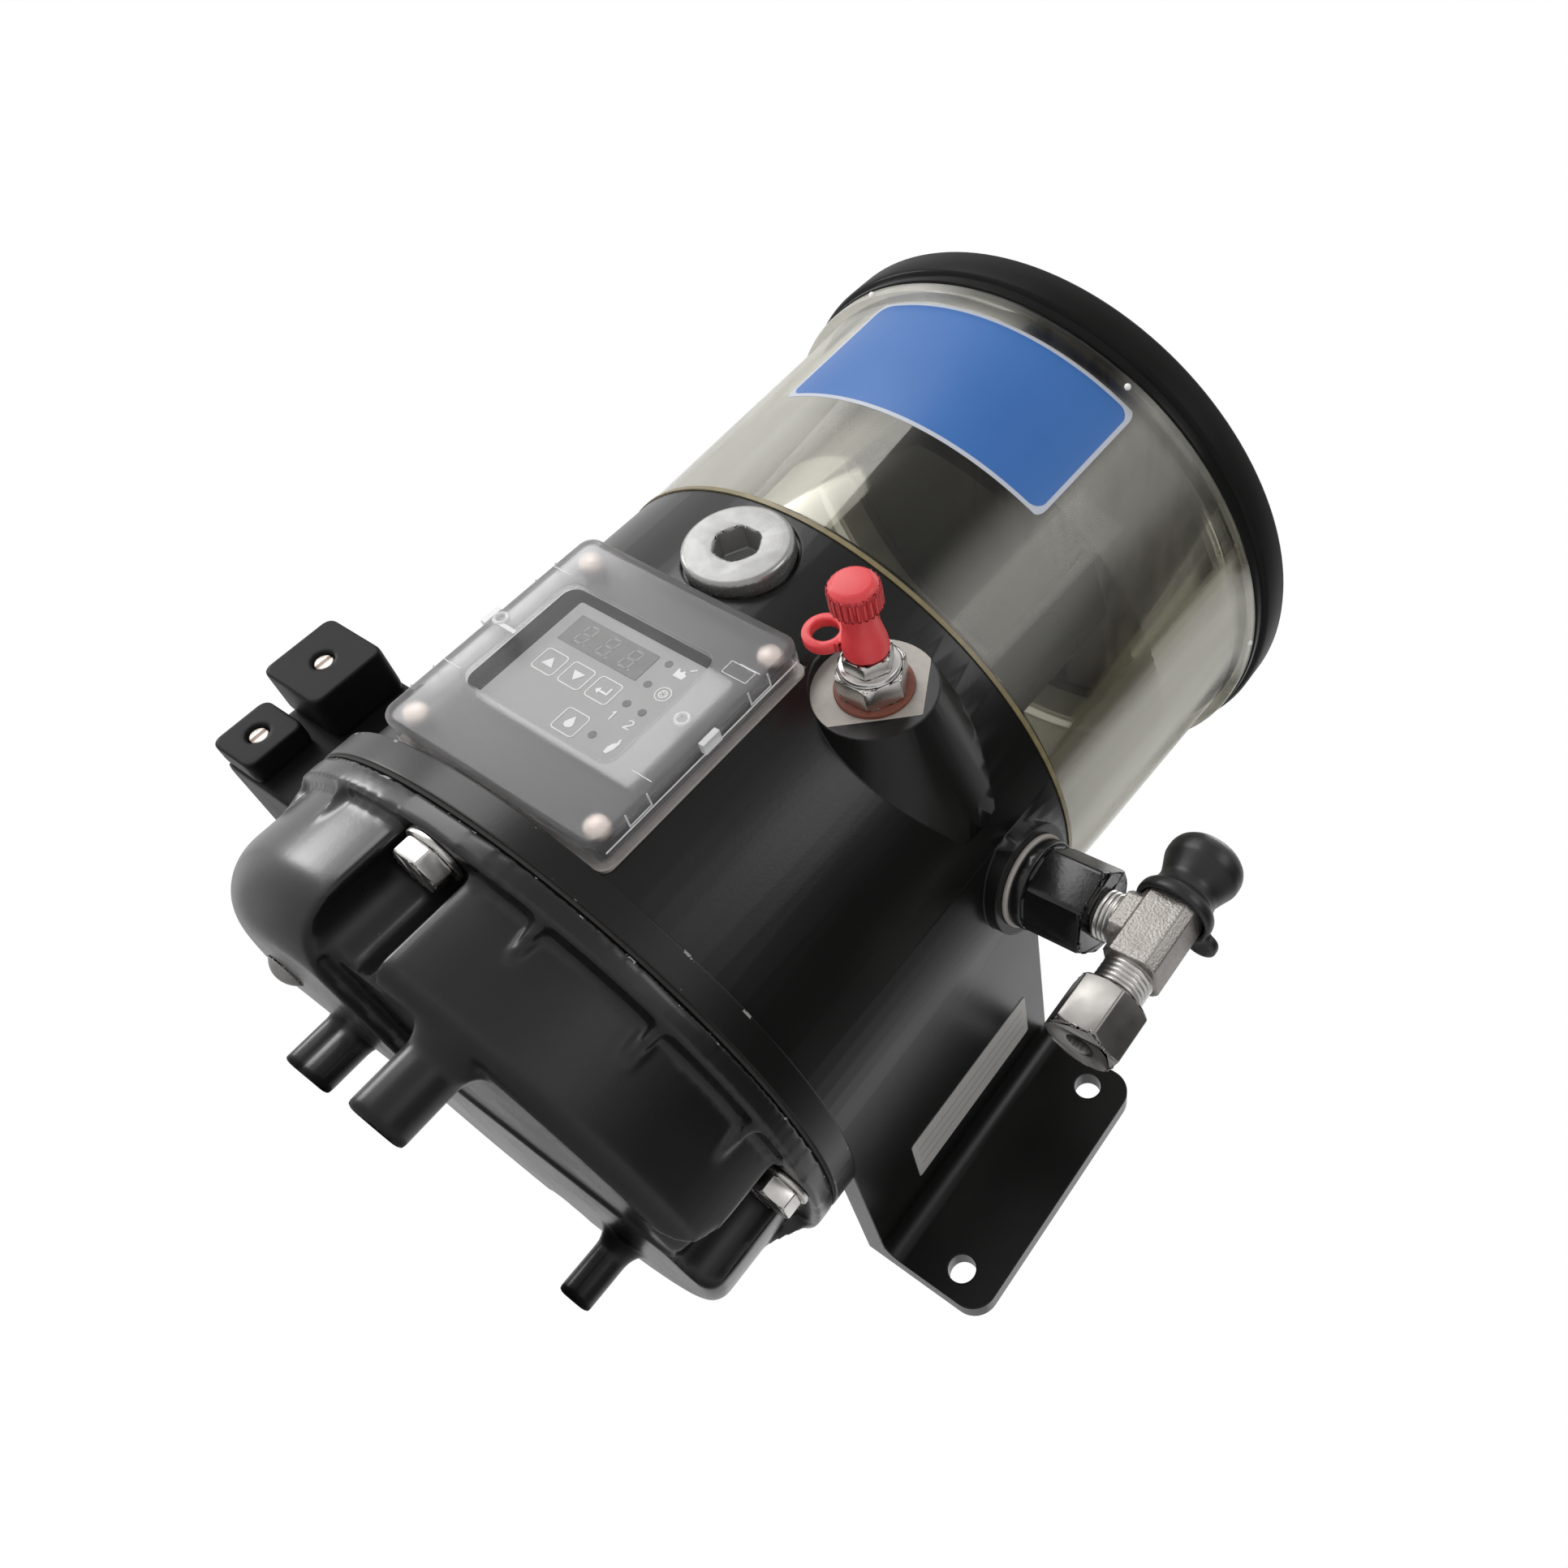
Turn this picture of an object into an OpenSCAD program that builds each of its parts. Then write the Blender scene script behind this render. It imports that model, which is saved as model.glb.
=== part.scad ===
// Electric lubrication pump: a cast body with a wall bracket, a clear grease reservoir on top,
// a moulded cover with feet below, a keypad controller in front and a tee outlet on the right.
// The origin is on the pump axis at the underside of the bottom cover, and the feet reach below it.
// +Z is up and the controller faces -Y.

/* [Body casting] */
// Outer diameter of the body
body_d = 180; // [170:1:200]
// Height of the body above the cover gasket
body_h = 119.5; // [115:0.5:140]
// Wall thickness of the body
body_wall = 6; // [5:0.5:8]
// How far the joint flanges stand out from the body
flange_out = 4.2; // [3.5:0.1:8]
// Height of the flange at the foot of the body
body_flange_h = 8; // [6:0.5:12]
// Height of the dry chamber under the partition
chamber_h = 51; // [45:1:56]
// Thickness of the partition under the grease chamber
partition_t = 9; // [7:0.5:12]
// Thickness of the deck that the reservoir stands on
deck_t = 6; // [4:0.5:10]
// Diameter of the opening in the deck
deck_open_d = 148; // [120:1:152]

/* [Wall bracket] */
// Distance from the pump axis to the wall
mount_depth = 103; // [102:1:130]
// Overall width across the two bracket flanges
bracket_w = 254; // [245:1:290]
// Height of the bracket flanges
bracket_h = 93; // [88:1:108]
// Thickness of the bracket flanges
bracket_t = 8; // [5:0.5:12]
// Thickness of the walls from the body to the bracket flanges
bracket_wall = 8; // [5:0.5:12]
// Corner radius of the bracket flanges
bracket_corner = 8; // [4:0.5:10]
// Inner radius of the bend between wall and flange
bracket_bend = 7; // [3:0.5:9]
// Hole spacing across the bracket
hole_pitch_x = 227; // [222:1:232]
// Hole spacing up the bracket
hole_pitch_z = 74; // [60:1:76]
// Diameter of the wall bolt holes
hole_d = 9; // [6.6:0.1:11]

/* [Bottom cover] */
// Height of the cover from its deep floor to the joint
cover_h = 39; // [39:1:60]
// Height of the shallow front part of the cover
front_h = 38; // [32:0.5:38.5]
// Wall thickness of the cover
cover_wall = 4; // [3:0.5:5]
// Thickness of the cover's joint flange
cover_flange_t = 7; // [5:0.5:10]
// Gap from the flange edge in to the deep rear wall
rear_inset = 8; // [6:0.5:9]
// Gap from the flange edge in to the front wall
front_inset = 6; // [5.5:0.5:8]
// Gap from the flange edge in to the recessed wall beside the bolts
recess_inset = 14; // [12:0.5:18]
// Gap from the flange edge in to the left bulge
bulge_inset = 4; // [3.5:0.5:8]
// Distance of the deep rear part's front face from the axis
deep_y = 6; // [5:0.5:12]
// Rounding of the cover's lower edges
cover_round = 5; // [3:0.5:6]
// Rounding of the bulge's lower edge
bulge_round = 18; // [12:0.5:20]
// Corner radius at the low right end of the front panel
panel_corner = 14; // [8:0.5:18]
// Thickness of the pointed gussets at the flange
gusset_t = 4.5; // [2:0.5:6]
// Height of the gussets under the flange
gusset_h = 12; // [6:0.5:16]
// Thickness of the joint gasket
gasket_t = 1; // [0.5:0.1:2]

/* [Feet] */
// How far the feet reach below the cover's underside
foot_h = 21; // [14:0.5:28]
// Diameter of the stout front foot
front_foot_d = 15.5; // [12:0.5:18]
// Diameter of the slim rear foot
rear_foot_d = 11; // [8:0.5:14]
// Diameter of each half of the fluted left foot
left_foot_d = 11; // [8:0.5:14]
// Spacing of the halves of the fluted left foot
left_foot_pitch = 7; // [4:0.5:7.5]

/* [Cover bolts] */
// Distance of the bolts from the flange edge
bolt_inset = 9.2; // [9:0.1:11]
// Diameter of the bolts
bolt_d = 8; // [6:1:8]
// Hexagon of the bolt heads, across flats
bolt_af = 13; // [10:0.5:13]
// Height of the bolt heads
bolt_head_h = 5.5; // [4:0.5:7]
// Thickness of the bolt washers
bolt_washer_t = 1.6; // [1:0.2:2.4]
// Depth of the bolt thread in the body
bolt_reach = 7; // [5:0.5:7]

/* [Reservoir and lid] */
// Height of the reservoir
res_h = 112; // [90:1:260]
// How much wider the reservoir is at the top, on the radius
res_flare = 4; // [0:0.5:5]
// Wall thickness of the reservoir
res_wall = 3; // [2:0.5:5]
// Thickness of the reservoir's foot ring
res_floor = 3; // [2:0.5:5]
// Thickness of the seal under the reservoir
res_seal_t = 1.5; // [1:0.1:3]
// Height of the lid
lid_h = 16.3; // [14:0.1:24]
// How far the lid's rim reaches down over the reservoir
lid_lap = 10; // [8:0.5:11]
// Thickness of the lid's rim
lid_rim = 4.9; // [3:0.1:8]
// Thickness of the seal inside the lid
lid_seal_t = 2; // [1:0.1:3]
// Rounding of the lid's upper edge
lid_round = 1.5; // [1:0.5:4]

/* [Controller] */
// Width of the clear controller cover
ctrl_w = 75; // [70:0.5:78]
// Height of the clear controller cover
ctrl_h = 74; // [70:0.5:75]
// Distance of the cover's face from the pump axis
ctrl_face = 94.5; // [93:0.5:100]
// Distance of the controller's flat seat from the pump axis
ctrl_seat = 82.5; // [81:0.5:83.5]
// Wall thickness of the clear cover
ctrl_wall = 2; // [1.5:0.1:2.5]
// Spacing of the cover screws across
ctrl_pitch_x = 63.6; // [60:0.1:64]
// Spacing of the cover screws up
ctrl_pitch_z = 61; // [58:0.1:62.6]
// Width of the keypad panel
keypad_w = 57; // [52:0.5:58]
// Height of the keypad panel
keypad_h = 39; // [36:0.5:44]
// Width of the display window
display_w = 26; // [20:0.5:28]
// Height of the display window
display_h = 10; // [8:0.5:12]
// Side of the square key pads
key_w = 7; // [5:0.5:7.5]

/* [Filler fittings] */
// Diameter of the fill plug's flange
plug_d = 31; // [26:0.5:32]
// Thickness of the fill plug's flange
plug_t = 5; // [3:0.5:8]
// Diameter of the fill plug's thread
plug_thread_d = 24; // [18:0.5:25]
// Hexagon socket of the fill plug, across flats
plug_af = 12; // [8:0.5:14]
// How far the nipple stands to the right of the controller's middle
nipple_x = 52.5; // [48:0.5:56]
// Distance of the nipple's seat from the pump axis
nipple_seat = 78; // [76:0.5:80]
// Hexagon of the nipple adapter, across flats
nipple_af = 17; // [15:0.5:19]
// Diameter of the red cap's head
nipple_cap_d = 12.5; // [11:0.1:14]

/* [Outlet] */
// Direction of the pump element around the axis
element_angle = -8; // [-14:1:-4]
// Depth of the pump element's axis below the deck
element_drop = 23.5; // [22:0.5:28]
// Hexagon of the pump element, across flats
element_af = 24; // [22:0.5:26]
// Length of the pump element's hexagon
element_hex = 19; // [14:0.5:26]
// Distance from the element's hexagon to the tee's upright run
tee_reach = 16.5; // [15:0.5:24]
// Width of the forged tee
tee_w = 16; // [15:0.5:18]
// Hexagon of the tube nut, across flats
nut_af = 20; // [18:0.5:24]
// Length of the tube nut
nut_h = 16; // [14:0.5:22]
// Diameter of the outlet tube's hole
tube_d = 8.1; // [6:0.1:8.2]
// Height of the rubber cap
cap_h = 24; // [21:0.5:30]
// Largest radius of the rubber cap
cap_r = 11.8; // [11.2:0.1:14]

/* [Drive] */
// Diameter of the drive shaft
shaft_d = 14; // [12:0.5:16]
// Eccentric throw
throw = 3; // [2:0.25:4]
// Radius of the bearing on the eccentric
cam_r = 28; // [25:0.5:30]
// Thickness of the eccentric
cam_t = 16; // [12:0.5:18]
// Diameter of the piston
piston_d = 8; // [6:0.5:9]
// Diameter of the motor
motor_d = 64; // [50:1:76]
// Diameter of the gearbox
gearbox_d = 76; // [70:1:84]
// Height of the gearbox
gearbox_h = 30; // [24:1:36]

/* [Electrical plugs] */
// Side of the large plug
plug_a_w = 27; // [25:0.5:29]
// Width of the small plug
plug_b_w = 19.5; // [18:0.5:22]
// Height of the small plug
plug_b_h = 21; // [18:0.5:22]
// Depth of the large plug
plug_a_depth = 17; // [14:0.5:30]
// Depth of the small plug
plug_b_depth = 8; // [7:0.5:20]
// Distance of the connector box's outer side from the axis
box_reach = 142; // [138:1:150]
// Depth of the connector box, front to back
box_depth = 36; // [30:1:44]

/* [Hidden] */

$fn = 96;
eps = 0.5;
// Radial gap between pieces that sit in each other without moving
seat_gap = 0.05;
// Radial gap of the shafts and the piston that run in a bore
run_gap = 0.05;

// Heights up the pump
seam_z = cover_h;
body_z = seam_z + gasket_t;
body_r = body_d / 2;
body_top = body_z + body_h;
flange_r = body_r + flange_out;
inner_r = body_r - body_wall;
partition_z = body_z + chamber_h;
chamber_floor = partition_z + partition_t;
deck_z = body_top - deck_t;
deck_open_r = deck_open_d / 2;
cover_flange_z = seam_z - cover_flange_t;

// Cover bolts: one in front and one every quarter turn
bolt_r = flange_r - bolt_inset;
bolt_angles = [0:90:270];
bolt_hole_r = bolt_d / 2 + 0.5;
bolt_boss_r = bolt_d / 2 + 4;
washer_r = bolt_af / cos(30) / 2 + 0.8;
pocket_r = washer_r + 1.2;

// Bracket
bracket_z = body_z + body_flange_h;
hole_z = bracket_z + bracket_h / 2;
wall_x = body_r - bracket_wall;

// Cover walls
rear_r = flange_r - rear_inset;
front_r = flange_r - front_inset;
bulge_r = flange_r - bulge_inset;
recess_r = flange_r - recess_inset;
front_z = seam_z - front_h;
// The bulge hangs this far below the deep floor
bulge_drop = 4.5;
bulge_z = -bulge_drop;
// Directions of the front panel's ends and of the bulge's edge, around the axis
panel_from = -81.3;
panel_to = -10.3;
bulge_to = -95;
// Radius of the upright corners of the deep rear part
deep_corner = 8;
foot_flare = 2.5;
// Places of the feet on the standing plane
front_foot = [31, -70];
rear_foot = [37, 50];
left_foot = [-62, 18];
drain_at = [-56, -28];

// Reservoir and lid
res_z = body_top + res_seal_t;
res_top = res_z + res_h;
res_top_r = body_r + res_flare;
lid_z = res_top - lid_lap;
lid_in = res_top_r + 0.3;
lid_r = lid_in + lid_rim;
lid_roof = res_top + lid_seal_t;
nub_z = lid_z - 4;
res_seal_w = body_wall + 1;

// Controller
ctrl_gasket_t = 1;
pocket_gap = 0.7;
ctrl_z = body_z + body_flange_h + 0.3 + pocket_gap + ctrl_h / 2;
ctrl_round = 3;
ctrl_back = ctrl_seat + ctrl_gasket_t;
base_w = ctrl_w - 2 * ctrl_wall - 0.6;
base_h = ctrl_h - 2 * ctrl_wall - 0.6;
base_t = 4.5;
base_face = ctrl_back + base_t;
keypad_t = 1.2;
board_w = 56;
board_h = 52;
board_t = 1.6;
board_pocket = 8;
screw_post_r = 4;
screw_hole_r = 1.6;
display_at = [-8, 12.6];
keypad_at = [0.5, 1.8];
key_places = [[-17.8, 0.6], [-7.6, 0.6], [2.6, 0.6], [2.6, -11.5]];

// Fill plug and nipple
plug_seat = body_r - 2;
plug_gap = 0.8;
plug_z = max(body_top - 18.5, ctrl_z + ctrl_h / 2 + pocket_gap + plug_d / 2 + plug_gap);
plug_washer_t = 1;
plug_boss_r = plug_d / 2 + 2.5;
nipple_z = body_top - 29.5;
nipple_boss_r = 17;
nipple_flare = 13;
nipple_boss_h = 40;
nipple_washer_t = 1.5;
nipple_bore_r = 6;
adapter_h = 7.5;
adapter_reach = 20;
upper_hex_h = 4.5;
nipple_neck_r = 3.2;

// Pump element, along its own axis from the pump axis
element_z = body_top - element_drop;
boss_face = body_r + 4;
element_washer_t = 1.4;
collar_t = 4;
shank_r = 11;
shank_in = body_r - 32;
hex_start = boss_face + element_washer_t + collar_t;
hex_end = hex_start + element_hex;
port_r = 6.8;
port_depth = 8;
valve_r = 4.5;
valve_seat = hex_end - port_depth - 10.5;
ball_r = 3.4;
feed_r = 2;
tee_s = hex_end + tee_reach;
stroke = 2 * throw;
piston_r = piston_d / 2;
piston_in = throw + cam_r + 0.4;
piston_foot_t = 4;
piston_foot_r = 9;
spring_r = 8;
spring_wire = 1.5;
piston_end = valve_seat - stroke - 3;

// Tee: run up and down through the end of the element
tee_up = 12;
tee_down = 13;
thread_r = 7;
tee_chamfer = 2.4;
tee_corner = sqrt(tee_w * tee_w / 4 + pow(tee_w / 2 - tee_chamfer, 2));
thread_len = 13;
nut_top = tee_down + 9;
ring_len = 6;
ring_r = 6.3;
cap_skirt = 3.6;
cap_low = tee_up - cap_skirt;
cap_bore_r = 6.4;

// Drive
shaft_r = shaft_d / 2;
shaft_z = partition_z - gearbox_h + 2;
hub_r = 22;
hub_h = 11;
bearing_r = 16;
bearing_h = 9;
seal_r = 13;
seal_h = 7;
cam_race = 9;
spider_h = 8;
spider_r = 14;
bush_r = shaft_r + 3;
stirrer_z = res_z + res_floor + 1.5;
stirrer_hub_h = 14;
stirrer_hub_r = shaft_r + 6;
stirrer_r = body_r - res_wall - 5;
blade_h = 62;
shaft_top = stirrer_z + stirrer_hub_h + 4;
motor_z = front_z + cover_wall + 2;
motor_flange_r = gearbox_d / 2 + 9;
motor_flange_t = 6;
motor_screw_ring = gearbox_d / 2 + 4.6;
motor_screw_r = 2.5;

// Connector box on the left side
box_in = flange_r + 2;
box_front = 22;
box_low = seam_z - 7;
box_top = box_low + plug_a_w + plug_b_h + 5;
plug_gasket_t = 1;
plug_face = box_front + plug_gasket_t;
plug_a_x = -box_reach + plug_a_w / 2;
plug_a_z = box_top - plug_a_w / 2 - 0.5;
plug_b_x = -box_reach + plug_b_w / 2 + 0.5;
plug_b_z = box_low + plug_b_h / 2 + 0.5;
plug_round = 2.5;
plug_screw_r = 1.5;
plug_recess_r = 3.6;
plug_recess = 3;
gland_r = 8;
gland_h = 10;

// Shared shapes

module ring(outer, inner, h) {
    difference() {
        cylinder(r = outer, h = h);
        translate([0, 0, -eps]) cylinder(r = inner, h = h + 2 * eps);
    }
}

module hex_prism(af, h) {
    cylinder(r = af / 2 / cos(30), h = h, $fn = 6);
}

// Hexagon with turned chamfers on both ends
module hex_turned(af, h, bevel) {
    corner = af / 2 / cos(30);
    intersection() {
        hex_prism(af, h);
        rotate_extrude() polygon([[0, 0], [corner - bevel, 0], [corner, bevel * 0.6],
            [corner, h - bevel * 0.6], [corner - bevel, h], [0, h]]);
    }
}

module round_rect(w, h, r) {
    square([w - 2 * r, h], center = true);
    square([w, h - 2 * r], center = true);
    for (x = [-1, 1], y = [-1, 1]) translate([x * (w / 2 - r), y * (h / 2 - r)]) circle(r = r);
}

module chamfer_square(w, c) {
    s = w / 2;
    polygon([[s - c, -s], [s, c - s], [s, s - c], [s - c, s], [c - s, s], [-s, s - c], [-s, c - s],
        [c - s, -s]]);
}

// Half section of a wall with a rounded lower edge, for revolving
module low_round(from, to, z0, z1, f) {
    translate([from, z0 + f]) square([to - from, z1 - z0 - f]);
    translate([from, z0]) square([to - f - from, f + eps]);
    translate([to - f, z0 + f]) circle(r = f);
}

// Children are drawn in section and revolved between two directions around the axis
module sector(a0, a1) {
    rotate([0, 0, a0]) rotate_extrude(angle = a1 - a0) children();
}

// Local +Z points to the front, local +Y up
module facing_front(x, depth, z) {
    translate([x, -depth, z]) rotate([90, 0, 0]) children();
}

// Local +Z points out along the pump element, local +X down
module along_element(s) {
    rotate([0, 0, element_angle]) translate([0, 0, element_z]) rotate([0, 90, 0])
        translate([0, 0, s]) children();
}

// Local +Z points down the tee's run, from the element's axis
module down_tee(d) {
    along_element(tee_s) rotate([0, 90, 0]) translate([0, 0, d]) children();
}

module each_bolt() {
    for (a = bolt_angles) rotate([0, 0, a]) translate([0, -bolt_r, 0]) children();
}

module each_ctrl_screw() {
    for (x = [-1, 1], z = [-1, 1]) translate([x * ctrl_pitch_x / 2, z * ctrl_pitch_z / 2, 0]) children();
}

// Round wire wound about +Z with open ends
module coil(radius, wire, h, turns) {
    steps = 16;
    sides = 8;
    rings = steps * turns;
    rise = (h - wire) / rings;
    points = [for (i = [0:rings], j = [0:sides - 1])
        let (a = 360 * i / steps, b = 360 * j / sides, r = radius + wire / 2 * cos(b))
        [r * cos(a), r * sin(a), wire / 2 + i * rise + wire / 2 * sin(b)]];
    faces = [for (i = [0:rings - 1], j = [0:sides - 1])
        let (k = (j + 1) % sides)
        [i * sides + j, i * sides + k, (i + 1) * sides + k, (i + 1) * sides + j]];
    polyhedron(points, concat(faces, [[for (j = [sides - 1:-1:0]) j]],
        [[for (j = [0:sides - 1]) rings * sides + j]]));
}

// Body casting

module body_shell() {
    difference() {
        union() {
            translate([0, 0, body_z]) cylinder(r = body_r, h = body_h);
            translate([0, 0, body_z]) cylinder(r = flange_r, h = body_flange_h);
        }
        translate([0, 0, body_z - eps]) cylinder(r = inner_r, h = chamber_h + eps);
        translate([0, 0, chamber_floor]) cylinder(r = inner_r, h = deck_z - chamber_floor);
        translate([0, 0, deck_z - eps]) cylinder(r = deck_open_r, h = deck_t + 2 * eps);
    }
}

module spider() {
    translate([0, 0, body_top - spider_h]) cylinder(r = spider_r, h = spider_h);
    for (a = [30:120:270])
        rotate([0, 0, a]) translate([0, -4, body_top - spider_h]) cube([inner_r + 1, 8, spider_h]);
}

module bolt_bosses() {
    intersection() {
        translate([0, 0, body_z]) each_bolt() cylinder(r = bolt_boss_r, h = bolt_reach + 4);
        translate([0, 0, body_z]) cylinder(r = body_r, h = body_h);
    }
}

module controller_block() {
    intersection() {
        translate([-ctrl_w / 2 - 3, -body_r, ctrl_z - ctrl_h / 2 - 3])
            cube([ctrl_w + 6, body_r - ctrl_seat + board_pocket + 4, ctrl_h + 6]);
        translate([0, 0, body_z]) cylinder(r = body_r - 1, h = body_h);
    }
}

module bracket_side() {
    translate([wall_x, 0, bracket_z]) cube([bracket_wall, mount_depth, bracket_h]);
    translate([0, mount_depth, hole_z]) rotate([90, 0, 0]) linear_extrude(bracket_t)
        difference() {
            union() {
                translate([wall_x, -bracket_h / 2])
                    square([bracket_w / 2 - wall_x - bracket_corner, bracket_h]);
                translate([wall_x, bracket_corner - bracket_h / 2])
                    square([bracket_w / 2 - wall_x, bracket_h - 2 * bracket_corner]);
                for (s = [-1, 1])
                    translate([bracket_w / 2 - bracket_corner, s * (bracket_h / 2 - bracket_corner)])
                        circle(r = bracket_corner);
            }
            for (s = [-1, 1]) translate([hole_pitch_x / 2, s * hole_pitch_z / 2]) circle(d = hole_d);
        }
    translate([body_r, mount_depth - bracket_t, bracket_z]) linear_extrude(bracket_h)
        difference() {
            translate([-eps, -bracket_bend]) square([bracket_bend + eps, bracket_bend + eps]);
            translate([bracket_bend, -bracket_bend]) circle(r = bracket_bend);
        }
}

module connector_pad() {
    translate([-box_in, -box_front, bracket_z]) cube([box_in - inner_r, box_depth, box_top - bracket_z]);
}

module body_housing() {
    color("#171717") difference() {
        union() {
            body_shell();
            spider();
            bolt_bosses();
            controller_block();
            translate([0, 0, partition_z]) cylinder(r = hub_r, h = partition_t + hub_h);
            intersection() {
                facing_front(0, inner_r - 8, plug_z)
                    cylinder(r = plug_boss_r, h = plug_seat - inner_r + 8);
                translate([-body_r, -body_r, body_z]) cube([body_d, body_d, body_h]);
            }
            intersection() {
                facing_front(nipple_x, nipple_seat - nipple_boss_h, nipple_z)
                    cylinder(r1 = nipple_boss_r + nipple_flare, r2 = nipple_boss_r, h = nipple_boss_h);
                translate([0, 0, body_z]) ring(body_r + 20, inner_r - 8, body_h);
            }
            along_element(inner_r - 10) cylinder(r = shank_r + 6, h = boss_face - inner_r + 10);
            bracket_side();
            mirror([1, 0, 0]) bracket_side();
            connector_pad();
        }
        // Flat seat and blind pocket of the controller
        facing_front(0, ctrl_seat, ctrl_z)
            linear_extrude(20) square([ctrl_w + 2 * pocket_gap, ctrl_h + 2 * pocket_gap], center = true);
        facing_front(0, ctrl_seat - board_pocket, ctrl_z)
            linear_extrude(board_pocket + eps) square([board_w + 2, board_h + 2], center = true);
        facing_front(0, inner_r - 20, ctrl_z - board_h / 2 + 10) cylinder(r = 5, h = 20);
        facing_front(0, ctrl_seat - 7, ctrl_z) each_ctrl_screw() cylinder(r = screw_hole_r, h = 8);
        // Filler openings
        facing_front(0, plug_seat, plug_z) cylinder(r = plug_d / 2 + 0.8, h = 20);
        facing_front(0, inner_r - 12, plug_z) cylinder(d = plug_thread_d + 2 * seat_gap, h = 20);
        facing_front(nipple_x, nipple_seat, nipple_z) cylinder(r = nipple_boss_r, h = 20);
        facing_front(nipple_x, nipple_seat - 26, nipple_z) cylinder(r = nipple_bore_r + seat_gap, h = 30);
        along_element(inner_r - 14) cylinder(r = shank_r + seat_gap, h = boss_face - inner_r + 20);
        // Shaft bearing, seal and upper bush
        translate([0, 0, partition_z - eps]) cylinder(r = bearing_r + seat_gap, h = bearing_h + eps);
        translate([0, 0, partition_z]) cylinder(r = shaft_r + 2, h = partition_t + hub_h + 1);
        translate([0, 0, chamber_floor + hub_h - seal_h])
            cylinder(r = seal_r + seat_gap, h = seal_h + eps);
        translate([0, 0, body_top - spider_h - eps])
            cylinder(r = bush_r + seat_gap, h = spider_h + 2 * eps);
        // Threaded holes
        translate([0, 0, body_z - eps]) each_bolt()
            cylinder(r = bolt_d / 2 + seat_gap, h = bolt_reach + 1);
        translate([0, 0, partition_z - eps]) for (a = [45:90:315])
            rotate([0, 0, a]) translate([motor_screw_ring, 0, 0])
                cylinder(r = motor_screw_r + seat_gap, h = partition_t - 1.5);
    }
}

// Bottom cover

// Section of the deep rear part, revolved for the back and drawn straight for the front
module deep_section() {
    low_round(0, rear_r, 0, seam_z - 1, cover_round);
}

// Deep rear part: half a drum with a straight front, rounded along its low and upright edges
module deep_part() {
    difference() {
        union() {
            sector(0, 180) deep_section();
            translate([0, eps, 0]) rotate([90, 0, 0]) linear_extrude(deep_y + eps) {
                deep_section();
                mirror([1, 0]) deep_section();
            }
        }
        translate([-body_r, -deep_y, 0]) difference() {
            translate([0, -eps, -eps]) cube([body_d, cover_round + eps, cover_round + eps]);
            translate([-eps, cover_round, cover_round]) rotate([0, 90, 0])
                cylinder(r = cover_round, h = body_d + 1);
        }
        for (s = [0, 1]) mirror([s, 0, 0])
            translate([rear_r - deep_corner, deep_corner - deep_y, -eps]) difference() {
            translate([0, -deep_corner - eps, 0]) cube([deep_corner + eps, deep_corner + eps, seam_z]);
            translate([0, 0, -eps]) cylinder(r = deep_corner, h = seam_z + 2);
        }
    }
}

// Front panel: a raised sector with a large radius at its low right end
module front_panel() {
    difference() {
        sector(panel_from, panel_to) low_round(20, front_r, front_z, seam_z - 1, cover_round);
        rotate([0, 0, panel_to]) translate([recess_r - 10, -panel_corner, front_z]) difference() {
            translate([0, 0, -eps]) cube([40, panel_corner + 2, panel_corner + eps]);
            translate([-eps, 0, panel_corner]) rotate([0, 90, 0]) cylinder(r = panel_corner, h = 41);
        }
    }
}

module cover_outside() {
    translate([0, 0, cover_flange_z]) cylinder(r = flange_r, h = cover_flange_t);
    deep_part();
    front_panel();
    sector(-180, bulge_to) low_round(20, bulge_r, bulge_z, seam_z - 1, bulge_round);
    sector(-180, 0) low_round(0, recess_r, front_z, seam_z - 1, cover_round);
}

// Pointed fins from the flange down to the wall that carries them
module gusset(wall_r) {
    translate([wall_r - 1, 0, cover_flange_z + 1]) mirror([0, 0, 1])
        linear_extrude(gusset_h + 1, scale = [0.15, 0.2], slices = 1, $fn = 4)
            polygon([[0, -gusset_t / 2], [flange_r - wall_r, -gusset_t / 3],
                [flange_r - wall_r, gusset_t / 3], [0, gusset_t / 2]]);
}

module cover_gussets() {
    for (g = [22.5, 45, 67.5]) {
        rotate([0, 0, g - 90]) gusset(front_r);
        rotate([0, 0, -g - 90]) gusset(bulge_r);
        rotate([0, 0, g]) gusset(rear_r);
        rotate([0, 0, 180 - g]) gusset(rear_r);
    }
}

// Inside of the cover: one chamber that follows each outer wall
module cover_hollow() {
    roof = seam_z + eps;
    lift = front_z + cover_wall;
    bulge_floor = bulge_z + cover_wall + bulge_round / 3;
    end_gap = 3;
    difference() {
        union() {
            translate([0, 0, lift]) cylinder(r = recess_r - cover_wall, h = roof - lift);
            intersection() {
                translate([0, 0, cover_wall]) cylinder(r = rear_r - cover_wall, h = roof - cover_wall);
                translate([-body_r, cover_wall - deep_y, 0]) cube([body_d, body_r, 2 * cover_h]);
            }
            sector(panel_from + end_gap, panel_to - end_gap - 6) translate([recess_r - 20, lift + 2])
                square([front_r - cover_wall - recess_r + 20, roof - lift - 2]);
            sector(-177, bulge_to - end_gap) translate([recess_r - 20, bulge_floor])
                square([bulge_r - cover_wall - recess_r + 18, roof - bulge_floor]);
        }
        translate([0, 0, -1]) each_bolt() cylinder(r = pocket_r + cover_wall - 1, h = roof + 2);
        translate([drain_at[0], drain_at[1], bulge_z]) cylinder(r = 6, h = 14);
    }
}

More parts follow.
